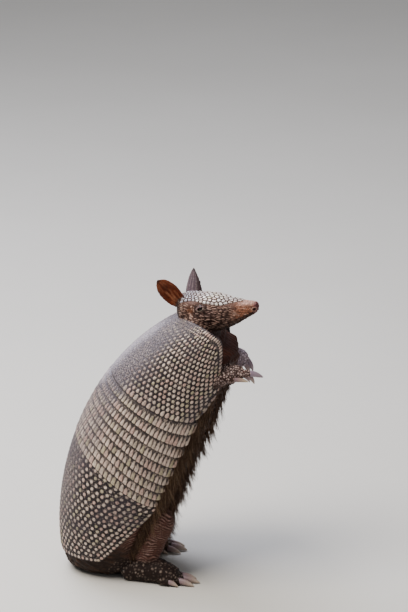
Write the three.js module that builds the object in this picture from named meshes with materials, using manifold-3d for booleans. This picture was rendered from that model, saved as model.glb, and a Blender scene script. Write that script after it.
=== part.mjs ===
// Nine-banded armadillo sitting up on its haunches: a life-size still figure.
// Millimetres. +X is the way the animal faces, +Y its left side, +Z up, the floor at Z = 0.
// Each shape is a smooth loft or a thick patch; neighbours are cut clear of each other by GAP.

import * as THREE from 'three';
import { mergeVertices } from 'three/addons/utils/BufferGeometryUtils.js';
import Module from 'manifold-3d';

const wasm = await Module();
wasm.setup();

// ---------------------------------------------------------------- driving dimensions

const GAP = 0.3; // clear space between pieces that meet

// Trunk: the mid-back and mid-belly lines, rump to neck, in the X-Z plane.
const BACK_LINE = new THREE.CubicBezierCurve(
  new THREE.Vector2(-95, 16),
  new THREE.Vector2(-108, 118),
  new THREE.Vector2(-62, 250),
  new THREE.Vector2(46, 299),
);
const BELLY_LINE = new THREE.CubicBezierCurve(
  new THREE.Vector2(14, 18),
  new THREE.Vector2(34, 84),
  new THREE.Vector2(66, 150),
  new THREE.Vector2(104, 262),
);
const TRUNK_SQUARENESS = 2.15; // 2 is an ellipse
const TRUNK_END = 0.94; // where the trunk meets the neck, as a share of its length
const TRUNK_DOME = 6; // rise of the rounded front end
const TRUNK_SIDES = 20;
const TRUNK_HOOPS = 12;
const TRUNK_LENGTH = 300;
const RUMP_DEPTH = 24; // depth of the rounded seat below the last hoop
const SEAT_SHARES = [0.35, 0.6, 0.75, 0.9]; // sizes of the hoops that round the seat
const FRONT_SHARE = 0.7; // size of the hoop that rounds the front end
const BELLY_SWEEP = 0.03; // how far each hoop's belly side leans towards the head
const CORE_RISE = -0.5; // flesh surface, measured from the trunk surface

// Shell: heights over the trunk surface, and how far it wraps round from the mid-back.
const SHELL_INSIDE = 0.5;
const SHELL_OUTSIDE = 2.5;
const HOOP_DEGREE = 1.2; // millimetres round the shell for each degree
const SHELL_WRAP = 137; // degrees
const SHOULDER_WRAP = 144;
const LOBE_ANGLE = 80; // where the shoulder shield reaches furthest forward
const PELVIS_WRAP = 131;
const BAND_COUNT = 9;
const LEFT_SHOULDER_BACK = 0.055; // as a share of the trunk's length
const PLATE_GAP = 0.0011; // gap between bands, as a share of the trunk's length

// Head: its long axis starts at the back of the skull and points a little to the right.
const OCCIPUT = new THREE.Vector3(34.6, 0, 0);
const HEAD_YAW = -14;
const HEAD_SQUARENESS = 2.2;
const HEAD_SIDES = 16;
const HEAD_SECTIONS = [
  // distance from the occiput, top, bottom, half width
  [0, 316.5, 296, 10],
  [5, 319.2, 286, 16.5],
  [12, 320.6, 282.5, 20],
  [22, 321.8, 280.5, 21.8],
  [32, 322.8, 280, 22],
  [42, 323.4, 281.2, 20.6],
  [52, 322.4, 284.5, 17.8],
  [61, 321.3, 289, 14.6],
  [70, 320.7, 294.9, 11.6],
  [78, 320.9, 300.5, 9.2],
  [84, 321.1, 304.8, 7.7],
  [88.3, 320.8, 308, 6.5],
  [90.2, 319.6, 310.2, 4.8],
];
const HEAD_BACK_POLE = [-1.2, 305];
const NOSE_POLE = [91, 315];
const SHIELD_START = 5; // head shield, distances from the occiput
const SHIELD_END = 75;
const SHIELD_THICKNESS = 1.4;
const SHIELD_PROUD = 0.2;

const EYE_PLACE = 31.8; // distance from the occiput
const EYE_OUT = 16.6; // from the head's middle plane
const EYE_HEIGHT = 310.6;
const EYE_RADIUS = 4.3;

const EAR_LENGTH = 38.5;
const EAR_HALF_WIDTH = 10.6;
const EAR_THICKNESS = 1.3;

const HIND_STAGGER = 30; // the left hind foot stands this much further back
const HIND_SPREAD = 4; // and this much further out

const TAIL_RINGS = 9;
const TAIL_SIDES = 11;
const TAIL_SINK = 0.5; // how much of each ring is flattened by the floor

// ---------------------------------------------------------------- numbers and curves

const { clamp, degToRad, lerp } = THREE.MathUtils;
const vec = (x, y, z) => new THREE.Vector3(x, y, z);

// Smooth curve through a few stations [place, value, ...], level beyond both ends.
function profile(stations, column = 1) {
  const last = stations.length - 1;
  const place = (i) => stations[i][0];
  const value = (i) => stations[i][column];
  const slope = (i) => {
    const before = Math.max(i - 1, 0);
    const after = Math.min(i + 1, last);
    return (value(after) - value(before)) / (place(after) - place(before));
  };
  return (x) => {
    if (x <= place(0)) return value(0);
    if (x >= place(last)) return value(last);
    let i = 0;
    while (x > place(i + 1)) i += 1;
    const span = place(i + 1) - place(i);
    const s = (x - place(i)) / span;
    const rise = s * s * (3 - 2 * s);
    const bendIn = s * (1 - s) * (1 - s) * span * slope(i);
    const bendOut = s * s * (1 - s) * span * slope(i + 1);
    return lerp(value(i), value(i + 1), rise) + bendIn - bendOut;
  };
}

// Distance from the centre to a squared-off circle of radius 1.
function roundedSquare(angle, squareness) {
  const c = Math.abs(Math.cos(angle)) ** squareness;
  const s = Math.abs(Math.sin(angle)) ** squareness;
  return (c + s) ** (-1 / squareness);
}

const evenly = (count, make) => Array.from({ length: count }, (_, i) => make(i));

// ---------------------------------------------------------------- closed meshes

function geometryOf(points, faces) {
  const geometry = new THREE.BufferGeometry();
  const numbers = points.flatMap((p) => [p.x, p.y, p.z]);
  geometry.setAttribute('position', new THREE.Float32BufferAttribute(numbers, 3));
  geometry.setIndex(faces.flat());
  return geometry;
}

function signedVolume(points, faces) {
  return faces.reduce((sum, [a, b, c]) => {
    const cross = points[b].clone().cross(points[c]);
    return sum + points[a].dot(cross) / 6;
  }, 0);
}

// A solid from points and triangles, turned so that its faces point outwards.
function solidOf(points, faces) {
  if (signedVolume(points, faces) < 0) faces.forEach((face) => face.reverse());
  return solidFrom(geometryOf(points, faces));
}

function solidFrom(geometry) {
  geometry.deleteAttribute('normal');
  geometry.deleteAttribute('uv');
  const merged = mergeVertices(geometry);
  return new wasm.Manifold(
    new wasm.Mesh({
      numProp: 3,
      vertProperties: merged.attributes.position.array,
      triVerts: new Uint32Array(merged.index.array),
    }),
  );
}

// A closed loft through rings of equal count, with a point closing each end.
function loft(rings, startPole, endPole) {
  const sides = rings[0].length;
  const points = [...rings.flat(), startPole, endPole];
  const start = points.length - 2;
  const end = points.length - 1;
  const lastRing = (rings.length - 1) * sides;
  const faces = [];
  for (let i = 0; i < sides; i += 1) {
    const j = (i + 1) % sides;
    faces.push([start, j, i]);
    faces.push([end, lastRing + i, lastRing + j]);
    for (let ring = 0; ring < lastRing; ring += sides) {
      faces.push([ring + i, ring + j, ring + sides + j]);
      faces.push([ring + i, ring + sides + j, ring + sides + i]);
    }
  }
  return solidOf(points, faces);
}

// A closed patch of even thickness: place(u, v, side) gives its inner (0) and outer (1) faces.
function patch(place, uSteps, vSteps) {
  const columns = vSteps + 1;
  const layer = (uSteps + 1) * columns;
  const at = (side, i, j) => side * layer + i * columns + j;
  const points = [0, 1].flatMap((side) =>
    evenly(layer, (k) => place(Math.floor(k / columns) / uSteps, (k % columns) / vSteps, side)),
  );
  const faces = [];
  const quad = (a, b, c, d) => faces.push([a, b, c], [a, c, d]);
  for (let i = 0; i < uSteps; i += 1) {
    for (let j = 0; j < vSteps; j += 1) {
      quad(at(1, i, j), at(1, i + 1, j), at(1, i + 1, j + 1), at(1, i, j + 1));
      quad(at(0, i, j + 1), at(0, i + 1, j + 1), at(0, i + 1, j), at(0, i, j));
    }
    quad(at(0, i, 0), at(0, i + 1, 0), at(1, i + 1, 0), at(1, i, 0));
    quad(at(1, i, vSteps), at(1, i + 1, vSteps), at(0, i + 1, vSteps), at(0, i, vSteps));
  }
  for (let j = 0; j < vSteps; j += 1) {
    quad(at(1, 0, j), at(1, 0, j + 1), at(0, 0, j + 1), at(0, 0, j));
    quad(at(0, uSteps, j), at(0, uSteps, j + 1), at(1, uSteps, j + 1), at(1, uSteps, j));
  }
  return solidOf(points, faces);
}

// A rounded tube through stations [x, y, z, half width, half height]; `up` is the height's way.
function limb(stations, up, { sides = 8, steps = 5, grow = 0 } = {}) {
  const curve = new THREE.CatmullRomCurve3(stations.map(([x, y, z]) => vec(x, y, z)));
  const place = stations.map((_, i) => i / (stations.length - 1));
  const halfWidth = profile(stations.map((s, i) => [place[i], s[3]]));
  const halfHeight = profile(stations.map((s, i) => [place[i], s[4]]));
  const rings = evenly(steps + 1, (k) => {
    const t = k / steps;
    const centre = curve.getPoint(t);
    const ahead = curve.getTangent(t);
    const side = vec().crossVectors(up, ahead).normalize();
    const over = vec().crossVectors(ahead, side).normalize();
    return evenly(sides, (i) => {
      const angle = (2 * Math.PI * i) / sides;
      return centre
        .clone()
        .addScaledVector(side, Math.cos(angle) * (halfWidth(t) + grow))
        .addScaledVector(over, Math.sin(angle) * (halfHeight(t) + grow));
    });
  });
  const endDome = (t, way) => {
    const reach = 0.45 * Math.min(halfWidth(t), halfHeight(t)) + grow;
    return curve.getPoint(t).addScaledVector(curve.getTangent(t), way * reach);
  };
  return loft(rings, endDome(0, -1), endDome(1, 1));
}

const largest = (solid) =>
  solid.decompose().reduce((best, piece) => (piece.volume() > best.volume() ? piece : best));

// What is left of a solid once its neighbours are cut away from it.
const clearOf = (solid, ...neighbours) =>
  largest(neighbours.reduce((rest, cutter) => rest.subtract(cutter), solid));

const FLOOR_BLOCK = solidFrom(new THREE.BoxGeometry(2000, 2000, 200).translate(0, 0, -100));
const onFloor = (solid) => solid.subtract(FLOOR_BLOCK);

// ---------------------------------------------------------------- trunk

const trunkHalfWidth = profile([
  [0, 52],
  [0.15, 64],
  [0.35, 70],
  [0.55, 69],
  [0.75, 64],
  [0.9, 58],
  [1, 53],
  [1.1, 47],
]);

// A point on the trunk: `along` from the rump (0) to the neck (1), `around` from the mid-back.
function trunkPoint(along, around, rise) {
  const bellyShare = clamp((Math.abs(around) - 1.6) / 0.8, 0, 1);
  const place = along + BELLY_SWEEP * bellyShare ** 2;
  const back = BACK_LINE.getPoint(place);
  const belly = BELLY_LINE.getPoint(place);
  const reach = roundedSquare(around, TRUNK_SQUARENESS);
  const outward = reach + (2 * rise) / back.distanceTo(belly);
  const inTowardsBelly = 0.5 * (1 - outward * Math.cos(around));
  const spot = back.lerp(belly, inTowardsBelly);
  const side = (trunkHalfWidth(along) + rise) * reach * Math.sin(around);
  return vec(spot.x, side, spot.y);
}

function trunkSolid(rise) {
  const hoop = (along) =>
    evenly(TRUNK_SIDES, (i) => trunkPoint(along, ((2 * i) / TRUNK_SIDES - 1) * Math.PI, rise));
  const middle = (along) => trunkPoint(along, 0, 0).lerp(trunkPoint(along, Math.PI, 0), 0.5);
  const seatMiddle = middle(0);
  const seat = SEAT_SHARES.map((share) =>
    hoop(0).map((p) => {
      const down = Math.sqrt(1 - share * share) * (RUMP_DEPTH + rise);
      return seatMiddle.clone().lerp(p, share).setZ(lerp(seatMiddle.z, p.z, share) - down);
    }),
  );
  const frontMiddle = middle(TRUNK_END);
  const chestWay = trunkPoint(TRUNK_END, 0, 0).sub(trunkPoint(TRUNK_END, Math.PI, 0));
  const forward = vec(-chestWay.z, 0, chestWay.x).multiplyScalar(-1).normalize();
  const frontRise = Math.sqrt(1 - FRONT_SHARE ** 2) * TRUNK_DOME + rise;
  const front = hoop(TRUNK_END).map((p) =>
    frontMiddle.clone().lerp(p, FRONT_SHARE).addScaledVector(forward, frontRise),
  );
  const walls = evenly(TRUNK_HOOPS + 1, (k) => hoop((k / TRUNK_HOOPS) * TRUNK_END));
  const seatPole = seatMiddle.clone().setZ(seatMiddle.z - RUMP_DEPTH - rise);
  const frontPole = frontMiddle.clone().addScaledVector(forward, TRUNK_DOME + rise);
  return loft([...seat, ...walls, front], seatPole, frontPole);
}

// ---------------------------------------------------------------- shell

// Edges of the shell's parts: a place along the trunk for each angle round it, in degrees.
// Front edges take the angle with its sign, left positive; rear edges take its size.
const shoulderRear = (angle) => 0.682 + 0.024 * clamp(angle / 120, 0, 1);
const lastBandRear = (angle) => 0.448 - 0.145 * (angle / PELVIS_WRAP) ** 1.9;

// How far an angle is on its way from one angle to another, from 0 to 1.
const between = (angle, from, to) => clamp((angle - from) / (to - from), 0, 1);

// The left shoulder is held a little further back than the right.
function shoulderFront(angle) {
  const size = Math.abs(angle);
  const setBack = LEFT_SHOULDER_BACK * between(angle, 0, LOBE_ANGLE);
  const lobe = 0.08 * Math.sin((between(size, 0, LOBE_ANGLE) * Math.PI) / 2);
  const corner = 0.2 * between(size, 95, SHOULDER_WRAP) ** 2;
  return 0.955 + lobe - corner - setBack;
}

function shoulderRearRounded(angle) {
  return shoulderRear(angle) + 0.11 * between(angle, 124, SHOULDER_WRAP) ** 2.6;
}

// Rear edge of band `index`, where 0 is the shoulder shield and 9 the last band.
function bandRear(index, angle) {
  const share = index / BAND_COUNT;
  const droop = 0.025 * (angle / PELVIS_WRAP) ** 4 * Math.sin(Math.PI * share);
  return lerp(shoulderRear(angle), lastBandRear(angle), share) - droop;
}

function pelvisRear(angle) {
  const side = 0.26 * between(angle, 84, PELVIS_WRAP) ** 1.25;
  const tailNotch = 0.07 * Math.exp(-((angle / 16) ** 2));
  return 0.02 + side + tailNotch;
}

// A thick patch of shell between two edges that are functions of the angle.
function shellPatch(front, rear, wrap, uSteps, vSteps, grow = 0) {
  const edgeGap = grow ? grow / TRUNK_LENGTH : -PLATE_GAP / 2;
  return patch(
    (u, v, side) => {
      const angle = (2 * v - 1) * (wrap + grow / HOOP_DEGREE);
      const from = rear(Math.abs(angle)) - edgeGap;
      const to = front(angle) + edgeGap;
      const rise = side ? SHELL_OUTSIDE + grow : SHELL_INSIDE - grow;
      return trunkPoint(lerp(from, to, u), degToRad(angle), rise);
    },
    uSteps,
    vSteps,
  );
}

const scapularShield = (grow) =>
  shellPatch(shoulderFront, shoulderRearRounded, SHOULDER_WRAP, 4, 22, grow);
const pelvicShield = (grow) =>
  shellPatch((a) => bandRear(BAND_COUNT, Math.abs(a)), pelvisRear, PELVIS_WRAP, 5, 22, grow);
const band = (index) =>
  shellPatch(
    (a) => bandRear(index - 1, Math.abs(a)),
    (a) => bandRear(index, a),
    lerp(SHELL_WRAP, PELVIS_WRAP + 1, index / BAND_COUNT),
    1,
    18,
  );

// ---------------------------------------------------------------- head

const headTop = profile(HEAD_SECTIONS, 1);
const headBottom = profile(HEAD_SECTIONS, 2);
const headHalfWidth = profile(HEAD_SECTIONS, 3);
const headAhead = vec(1, 0, 0).applyAxisAngle(vec(0, 0, 1), degToRad(HEAD_YAW));
const headLeft = vec(0, 1, 0).applyAxisAngle(vec(0, 0, 1), degToRad(HEAD_YAW));

// A place given along the head, to its left and in height.
function inHead(along, left, height) {
  const spot = OCCIPUT.clone().addScaledVector(headAhead, along).addScaledVector(headLeft, left);
  return spot.setZ(height);
}

// A point on the head: `around` is the angle from its top line, left side positive.
function headPoint(along, around, rise) {
  const halfHeight = (headTop(along) - headBottom(along)) / 2;
  const middle = (headTop(along) + headBottom(along)) / 2;
  const reach = roundedSquare(around, HEAD_SQUARENESS);
  const left = (headHalfWidth(along) + rise) * reach * Math.sin(around);
  const height = middle + (halfHeight + rise) * reach * Math.cos(around);
  return inHead(along, left, height);
}

function headSolid(grow) {
  const rings = HEAD_SECTIONS.map(([along]) =>
    evenly(HEAD_SIDES, (i) => headPoint(along, (2 * Math.PI * i) / HEAD_SIDES, grow)),
  );
  const [back, backHeight] = HEAD_BACK_POLE;
  const [nose, noseHeight] = NOSE_POLE;
  return loft(rings, inHead(back - grow, 0, backHeight), inHead(nose + grow, 0, noseHeight));
}

const shieldHalfAngle = profile([
  [5, 58],
  [12, 48],
  [22, 43],
  [37, 50],
  [52, 52],
  [63, 38],
  [70, 24],
  [75, 12],
]);

function headShield(grow) {
  const pastEdge = (share) => (share === 0 ? -grow : 0) + (share === 1 ? grow : 0);
  return patch(
    (u, v, side) => {
      const place = lerp(SHIELD_START, SHIELD_END, u);
      const angle = (2 * v - 1) * shieldHalfAngle(place) + 4 * pastEdge(v);
      const inside = SHIELD_PROUD - SHIELD_THICKNESS - grow;
      const outside = SHIELD_PROUD + 4 * grow;
      return headPoint(place + pastEdge(u), degToRad(angle), side ? outside : inside);
    },
    10,
    6,
  );
}

function eyeSolid(left, grow) {
  const ball = new THREE.SphereGeometry(EYE_RADIUS + grow, 10, 6);
  const centre = inHead(EYE_PLACE, left * EYE_OUT, EYE_HEIGHT);
  return solidFrom(ball.translate(centre.x, centre.y, centre.z));
}

// A leaf-shaped ear, hollowed on the side that `facing` points to. `breadth` widens it all along,
// and `roll` draws in its edges towards the tip.
const earOutline = profile([
  [0, 0.6],
  [0.22, 0.9],
  [0.45, 1],
  [0.68, 0.92],
  [0.84, 0.7],
  [0.94, 0.4],
  [1, 0.08],
]);
const earHollow = profile([
  [0, 7],
  [0.3, 7.5],
  [0.6, 4.5],
  [1, 0.8],
]);

function earSolid(base, tip, facing, breadth, roll) {
  const along = tip.clone().sub(base).normalize();
  const across = vec().crossVectors(along, facing).normalize();
  const open = vec().crossVectors(across, along).normalize();
  const halfPoints = 5;
  const rings = evenly(8, (k) => {
    const u = k / 7;
    const halfWidth = EAR_HALF_WIDTH * breadth * earOutline(u) * (1 - roll * u);
    const spine = base.clone().addScaledVector(along, EAR_LENGTH * u);
    const edge = (v, face) => {
      const hollow = earHollow(u) * (1 - v * v);
      const thickness = EAR_THICKNESS * (1 - 0.4 * v * v);
      return spine
        .clone()
        .addScaledVector(across, halfWidth * v)
        .addScaledVector(open, face * 0.5 * thickness - hollow);
    };
    const front = evenly(halfPoints, (i) => edge(-1 + (2 * i) / (halfPoints - 1), 1));
    const rear = evenly(halfPoints, (i) => edge(1 - (2 * i) / (halfPoints - 1), -1));
    return [...front, ...rear];
  });
  const heel = base.clone().addScaledVector(along, -1).addScaledVector(open, -0.5 * earHollow(0));
  const point = base.clone().addScaledVector(along, EAR_LENGTH + 0.6);
  return loft(rings, heel, point);
}

// ---------------------------------------------------------------- neck

function neckSolid() {
  // nape x, z; throat x, z; half width; shift to the left
  const sections = [
    [32, 283, 96, 244, 50, 0],
    [36, 292, 93, 257, 49, 0],
    [40, 299, 85, 269, 42, -1],
    [42, 306, 79, 280, 31, -3],
    [43, 311, 76, 290, 22, -5],
  ];
  const sides = 12;
  const rings = sections.map(([napeX, napeZ, throatX, throatZ, halfWidth, shift]) =>
    evenly(sides, (i) => {
      const angle = (2 * Math.PI * i) / sides;
      const share = 0.5 * (1 - Math.cos(angle));
      const side = shift + halfWidth * Math.sin(angle);
      return vec(lerp(napeX, throatX, share), side, lerp(napeZ, throatZ, share));
    }),
  );
  return loft(rings, vec(64, 0, 256), vec(62, -6, 301));
}

// ---------------------------------------------------------------- tail

// Middle line of the tail on the floor, from inside the rump out to the left side.
const TAIL_LINE = new THREE.CatmullRomCurve3([
  vec(-58, 8, 0),
  vec(-77, 36, 0),
  vec(-87, 78, 0),
  vec(-88, 150, 0),
  vec(-74, 232, 0),
  vec(-50, 305, 0),
  vec(-33, 358, 0),
]);
const tailRadius = profile([
  [0, 19],
  [0.15, 17.5],
  [0.35, 13.5],
  [0.6, 9.5],
  [0.8, 6.3],
  [0.93, 4],
  [1, 1.6],
]);

function tailLength(from, to, steps) {
  const rings = evenly(steps + 1, (k) => {
    const t = lerp(from, to, k / steps);
    const centre = TAIL_LINE.getPointAt(t);
    const ahead = TAIL_LINE.getTangentAt(t);
    const side = vec(-ahead.y, ahead.x, 0);
    const flare = to < 1 ? 1 + 0.05 * (1 - k / steps) : 1;
    const radius = tailRadius(t) * flare;
    const height = tailRadius(t) * 1.05 - TAIL_SINK;
    return evenly(TAIL_SIDES, (i) => {
      const angle = (2 * Math.PI * (i + 0.5)) / TAIL_SIDES;
      const spot = centre.clone().addScaledVector(side, radius * Math.cos(angle));
      return spot.setZ(height + radius * Math.sin(angle));
    });
  });
  const pole = (ring, way) => {
    const middle = ring.reduce((sum, p) => sum.add(p), vec()).divideScalar(ring.length);
    return middle.addScaledVector(TAIL_LINE.getTangentAt(way < 0 ? from : to), way);
  };
  const tipReach = to < 1 ? 0 : 2;
  return onFloor(loft(rings, pole(rings[0], 0), pole(rings[steps], tipReach)));
}

const tailStart = (index) => 0.05 + 0.8 * (index / TAIL_RINGS) ** 0.92;

// ---------------------------------------------------------------- legs and feet

// Hind limbs are written for the left side, level with the right foot; `left` is 1 or -1.
const hindPlace = (left, [x, y, z, ...rest]) => [
  left > 0 ? x - HIND_STAGGER : x,
  left > 0 ? y + HIND_SPREAD : -y,
  z,
  ...rest,
];

const SIDEWAYS = vec(0, 1, 0);
const UPWARDS = vec(0, 0, 1);

const FORELEG = {
  right: [
    [57, -34, 231, 10, 10],
    [68, -37, 231, 11, 10.5],
    [79, -38, 236, 10.5, 10],
    [90, -38, 241.5, 9.6, 9.3],
  ],
  left: [
    [62, 38, 224, 12, 12],
    [79, 37, 214, 12, 12],
    [86, 32, 228, 10, 9.5],
    [91, 24.5, 241.5, 8.6, 8],
  ],
};

// Palm stations, then each digit as its knuckle, its end and its claw's point.
const FOREPAW = {
  right: {
    palm: [
      [91, -38, 242.4, 9.4, 9],
      [99, -37.5, 244, 9, 8.6],
      [107, -37, 245.2, 7.4, 6],
    ],
    digits: [
      [[102, -31, 242], [108, -28.5, 239.5], [115, -26.5, 230.5], 3.2],
      [[107, -33, 244], [113.5, -31.5, 241.5], [120.5, -30.5, 230.5], 3.8],
      [[105, -39.5, 245.4], [116.5, -39, 245], [131.3, -38, 241.2], 4.6],
      [[94, -44, 239.3], [100.5, -44, 238.2], [116, -42.5, 236.6], 3.7],
    ],
  },
  left: {
    palm: [
      [90, 23.5, 243, 7.8, 7.2],
      [95.5, 22.5, 242.5, 8.2, 7.2],
      [99.5, 22.5, 239, 7.4, 6.4],
    ],
    digits: [
      [[94, 16, 240], [96.5, 13.5, 235.5], [99.5, 12, 226.5], 3.3],
      [[98.5, 19, 240], [102.5, 18, 234.5], [107, 17.2, 223.5], 3.9],
      [[99.5, 25, 241], [104, 25.5, 235.5], [109.5, 26.5, 224], 4.2],
      [[96, 29.5, 241], [98.5, 31.5, 235.5], [102, 33, 226], 3.4],
    ],
  },
};

const HIND_LEG = [
  [-30, 28, 58, 24, 20],
  [-6, 34, 68, 24, 19],
  [17, 37, 70, 17, 16],
  [10, 40, 47, 15, 14],
  [3, 43, 26, 13, 12],
];
const HIND_FOOT = [
  [-18, 43, 9, 9, 10.3],
  [-4, 43, 13, 11.5, 14.3],
  [10, 43, 13.5, 13, 14.8],
  [25, 43, 10.5, 14, 11.8],
  [35, 43, 7.5, 13.5, 8.8],
];
const TOES = [
  // sideways, start, end, claw point, radius
  [-11.5, 23, 33, 44, 4.2],
  [-6, 29, 42, 58, 5],
  [0, 31, 45, 63.5, 5.3],
  [6, 29, 42, 59, 5],
  [11.5, 21, 31, 42, 4.2],
];
const TOE_SPLAY = 0.16; // sideways for each millimetre forward of the toe's start

function digitSolid([knuckle, end, , radius], grow) {
  const stations = [knuckle, end].map((p, i) => [...p, radius * (1 - 0.12 * i), radius * 0.92]);
  return limb(stations, SIDEWAYS, { sides: 6, steps: 1, grow });
}

// A curved, tapering claw that starts inside the digit's end.
function clawSolid([knuckle, end, point, radius], bow) {
  const from = vec(...end).lerp(vec(...knuckle), 0.25);
  const to = vec(...point);
  const middle = from.clone().lerp(to, 0.5).add(bow);
  const curve = new THREE.QuadraticBezierCurve3(from, middle, to);
  const sides = 5;
  const rings = evenly(3, (k) => {
    const t = k / 3;
    const ahead = curve.getTangent(t);
    const side = vec().crossVectors(ahead, SIDEWAYS).normalize();
    const other = vec().crossVectors(ahead, side).normalize();
    const thick = radius * 0.74 * (1 - 0.8 * t ** 1.6);
    return evenly(sides, (i) => {
      const angle = (2 * Math.PI * i) / sides;
      return curve
        .getPoint(t)
        .addScaledVector(side, thick * Math.cos(angle))
        .addScaledVector(other, 0.85 * thick * Math.sin(angle));
    });
  });
  return loft(rings, from.clone().addScaledVector(curve.getTangent(0), -0.3), to);
}

function forepawSolid(side, grow = 0) {
  const { palm, digits } = FOREPAW[side];
  const base = limb(palm, SIDEWAYS, { grow, steps: 2 });
  return digits.reduce((paw, digit) => paw.add(digitSolid(digit, grow)), base);
}

function toeDigits(left) {
  return TOES.map(([sideways, start, end, point, radius]) => {
    const place = (x, z) => {
      const y = 43 + sideways + Math.sign(sideways) * TOE_SPLAY * (x - start);
      return hindPlace(left, [x, y, z]);
    };
    return [place(start, 5.4), place(end, 4.4), place(point, 0.9), radius];
  });
}

function hindFootSolid(left, grow = 0) {
  const stations = HIND_FOOT.map((s) => hindPlace(left, s));
  const base = limb(stations, UPWARDS, { grow, steps: 4 });
  return toeDigits(left).reduce((foot, toe) => foot.add(digitSolid(toe, grow)), base);
}

// ---------------------------------------------------------------- colours

const finish = (color, roughness) =>
  new THREE.MeshStandardMaterial({ color, roughness, metalness: 0 });
const FINISH = {
  hide: finish(0x6b4a40, 0.75),
  face: finish(0x9a7462, 0.7),
  ear: finish(0x9c5a3c, 0.65),
  shell: finish(0xb5a796, 0.55),
  scute: finish(0xd8cdbb, 0.5),
  tail: finish(0x8f7c6c, 0.6),
  paw: finish(0xa08078, 0.65),
  claw: finish(0xc9b89a, 0.4),
  eye: finish(0x0d0a09, 0.1),
};

// ---------------------------------------------------------------- assembly

const figure = new THREE.Group();

function addPiece(name, solid, material) {
  const { vertProperties, triVerts } = onFloor(solid).getMesh();
  const geometry = new THREE.BufferGeometry();
  geometry.setAttribute('position', new THREE.BufferAttribute(vertProperties, 3));
  geometry.setIndex(new THREE.BufferAttribute(triVerts, 1));
  geometry.computeVertexNormals();
  const piece = new THREE.Mesh(geometry, material);
  piece.name = name;
  figure.add(piece);
}

const SIDES = [
  ['left', 1],
  ['right', -1],
];

const scapularCut = scapularShield(GAP);
const pelvicCut = pelvicShield(GAP);
const headCut = headSolid(GAP);
const trunkCut = trunkSolid(CORE_RISE + GAP);
const eyeSockets = SIDES.map(([, left]) => eyeSolid(left, GAP));
const forepawCuts = Object.fromEntries(SIDES.map(([side]) => [side, forepawSolid(side, 1.3 * GAP)]));
const hindFootCuts = SIDES.map(([, left]) => hindFootSolid(left, GAP));

const trunk = clearOf(trunkSolid(CORE_RISE), headCut, ...hindFootCuts);
addPiece('trunk', trunk, FINISH.hide);
addPiece('scapular_shield', scapularShield(0), FINISH.shell);
for (let index = 1; index <= BAND_COUNT; index += 1) {
  addPiece(`band_${index}`, band(index), FINISH.shell);
}
addPiece('pelvic_shield', pelvicShield(0), FINISH.shell);

const forelegCuts = SIDES.map(([side]) => limb(FORELEG[side], SIDEWAYS, { grow: GAP }));
const neckCuts = [trunkCut, headCut, scapularCut, ...forelegCuts, ...Object.values(forepawCuts)];
addPiece('neck', clearOf(neckSolid(), ...neckCuts), FINISH.hide);
addPiece('head', clearOf(headSolid(0), headShield(GAP), scapularCut, ...eyeSockets), FINISH.face);
addPiece('head_shield', clearOf(headShield(0), ...eyeSockets), FINISH.scute);

const EARS = {
  left: [vec(48, 12.6, 303), vec(45.6, 21.3, 339), vec(0.5, 0.82, -0.23), 1.38, 0.62],
  right: [vec(38, -14, 311), vec(12, -25, 341.5), vec(0.3, -0.92, 0.2), 0.94, 0],
};
for (const [side, left] of SIDES) {
  const ear = clearOf(earSolid(...EARS[side]), headCut, headShield(GAP), scapularCut);
  addPiece(`ear_${side}`, ear, FINISH.ear);
  addPiece(`eye_${side}`, eyeSolid(left, 0), FINISH.eye);
}

for (let index = 0; index < TAIL_RINGS; index += 1) {
  const from = tailStart(index);
  const to = tailStart(index + 1) - GAP / TAIL_LINE.getLength();
  const ring = clearOf(tailLength(from, to, 2), trunkCut, pelvicCut);
  addPiece(`tail_ring_${index + 1}`, ring, FINISH.tail);
}
addPiece('tail_tip', tailLength(tailStart(TAIL_RINGS), 1, 3), FINISH.tail);

for (const [side, left] of SIDES) {
  const foreleg = clearOf(limb(FORELEG[side], SIDEWAYS), trunkCut, scapularCut, forepawCuts[side]);
  addPiece(`foreleg_${side}`, foreleg, FINISH.paw);
  addPiece(`forepaw_${side}`, clearOf(forepawSolid(side), trunkCut, scapularCut), FINISH.paw);
  FOREPAW[side].digits.forEach((digit, i) => {
    const claw = clearOf(clawSolid(digit, vec(1.2, 0, 1.6)), forepawCuts[side]);
    addPiece(`foreclaw_${side}_${i + 1}`, claw, FINISH.claw);
  });

  const footCut = hindFootSolid(left, GAP);
  const hindLeg = limb(HIND_LEG.map((s) => hindPlace(left, s)), SIDEWAYS);
  addPiece(`hind_leg_${side}`, clearOf(hindLeg, trunkCut, pelvicCut, footCut), FINISH.hide);
  addPiece(`hind_foot_${side}`, hindFootSolid(left), FINISH.paw);
  toeDigits(left).forEach((toe, i) => {
    const claw = clearOf(clawSolid(toe, vec(0, 0, 2)), footCut);
    addPiece(`hindclaw_${side}_${i + 1}`, claw, FINISH.claw);
  });
}

// The origin is the middle of the footprint of the whole figure, on the floor.
const extent = new THREE.Box3().setFromObject(figure);
const middle = extent.getCenter(vec());
figure.position.set(-middle.x, -middle.y, -extent.min.z);

export default figure;
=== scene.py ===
# Nine-banded armadillo sitting up on its haunches, life size: the visual model.
# Shapes are written in millimetres in the figure's own frame: +X the way the animal faces,
# +Y its left side, +Z up, the floor at Z = 0. place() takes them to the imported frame, in metres.
import math
from itertools import product

import bmesh
import bpy
import numpy as np
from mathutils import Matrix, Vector, kdtree


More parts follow.
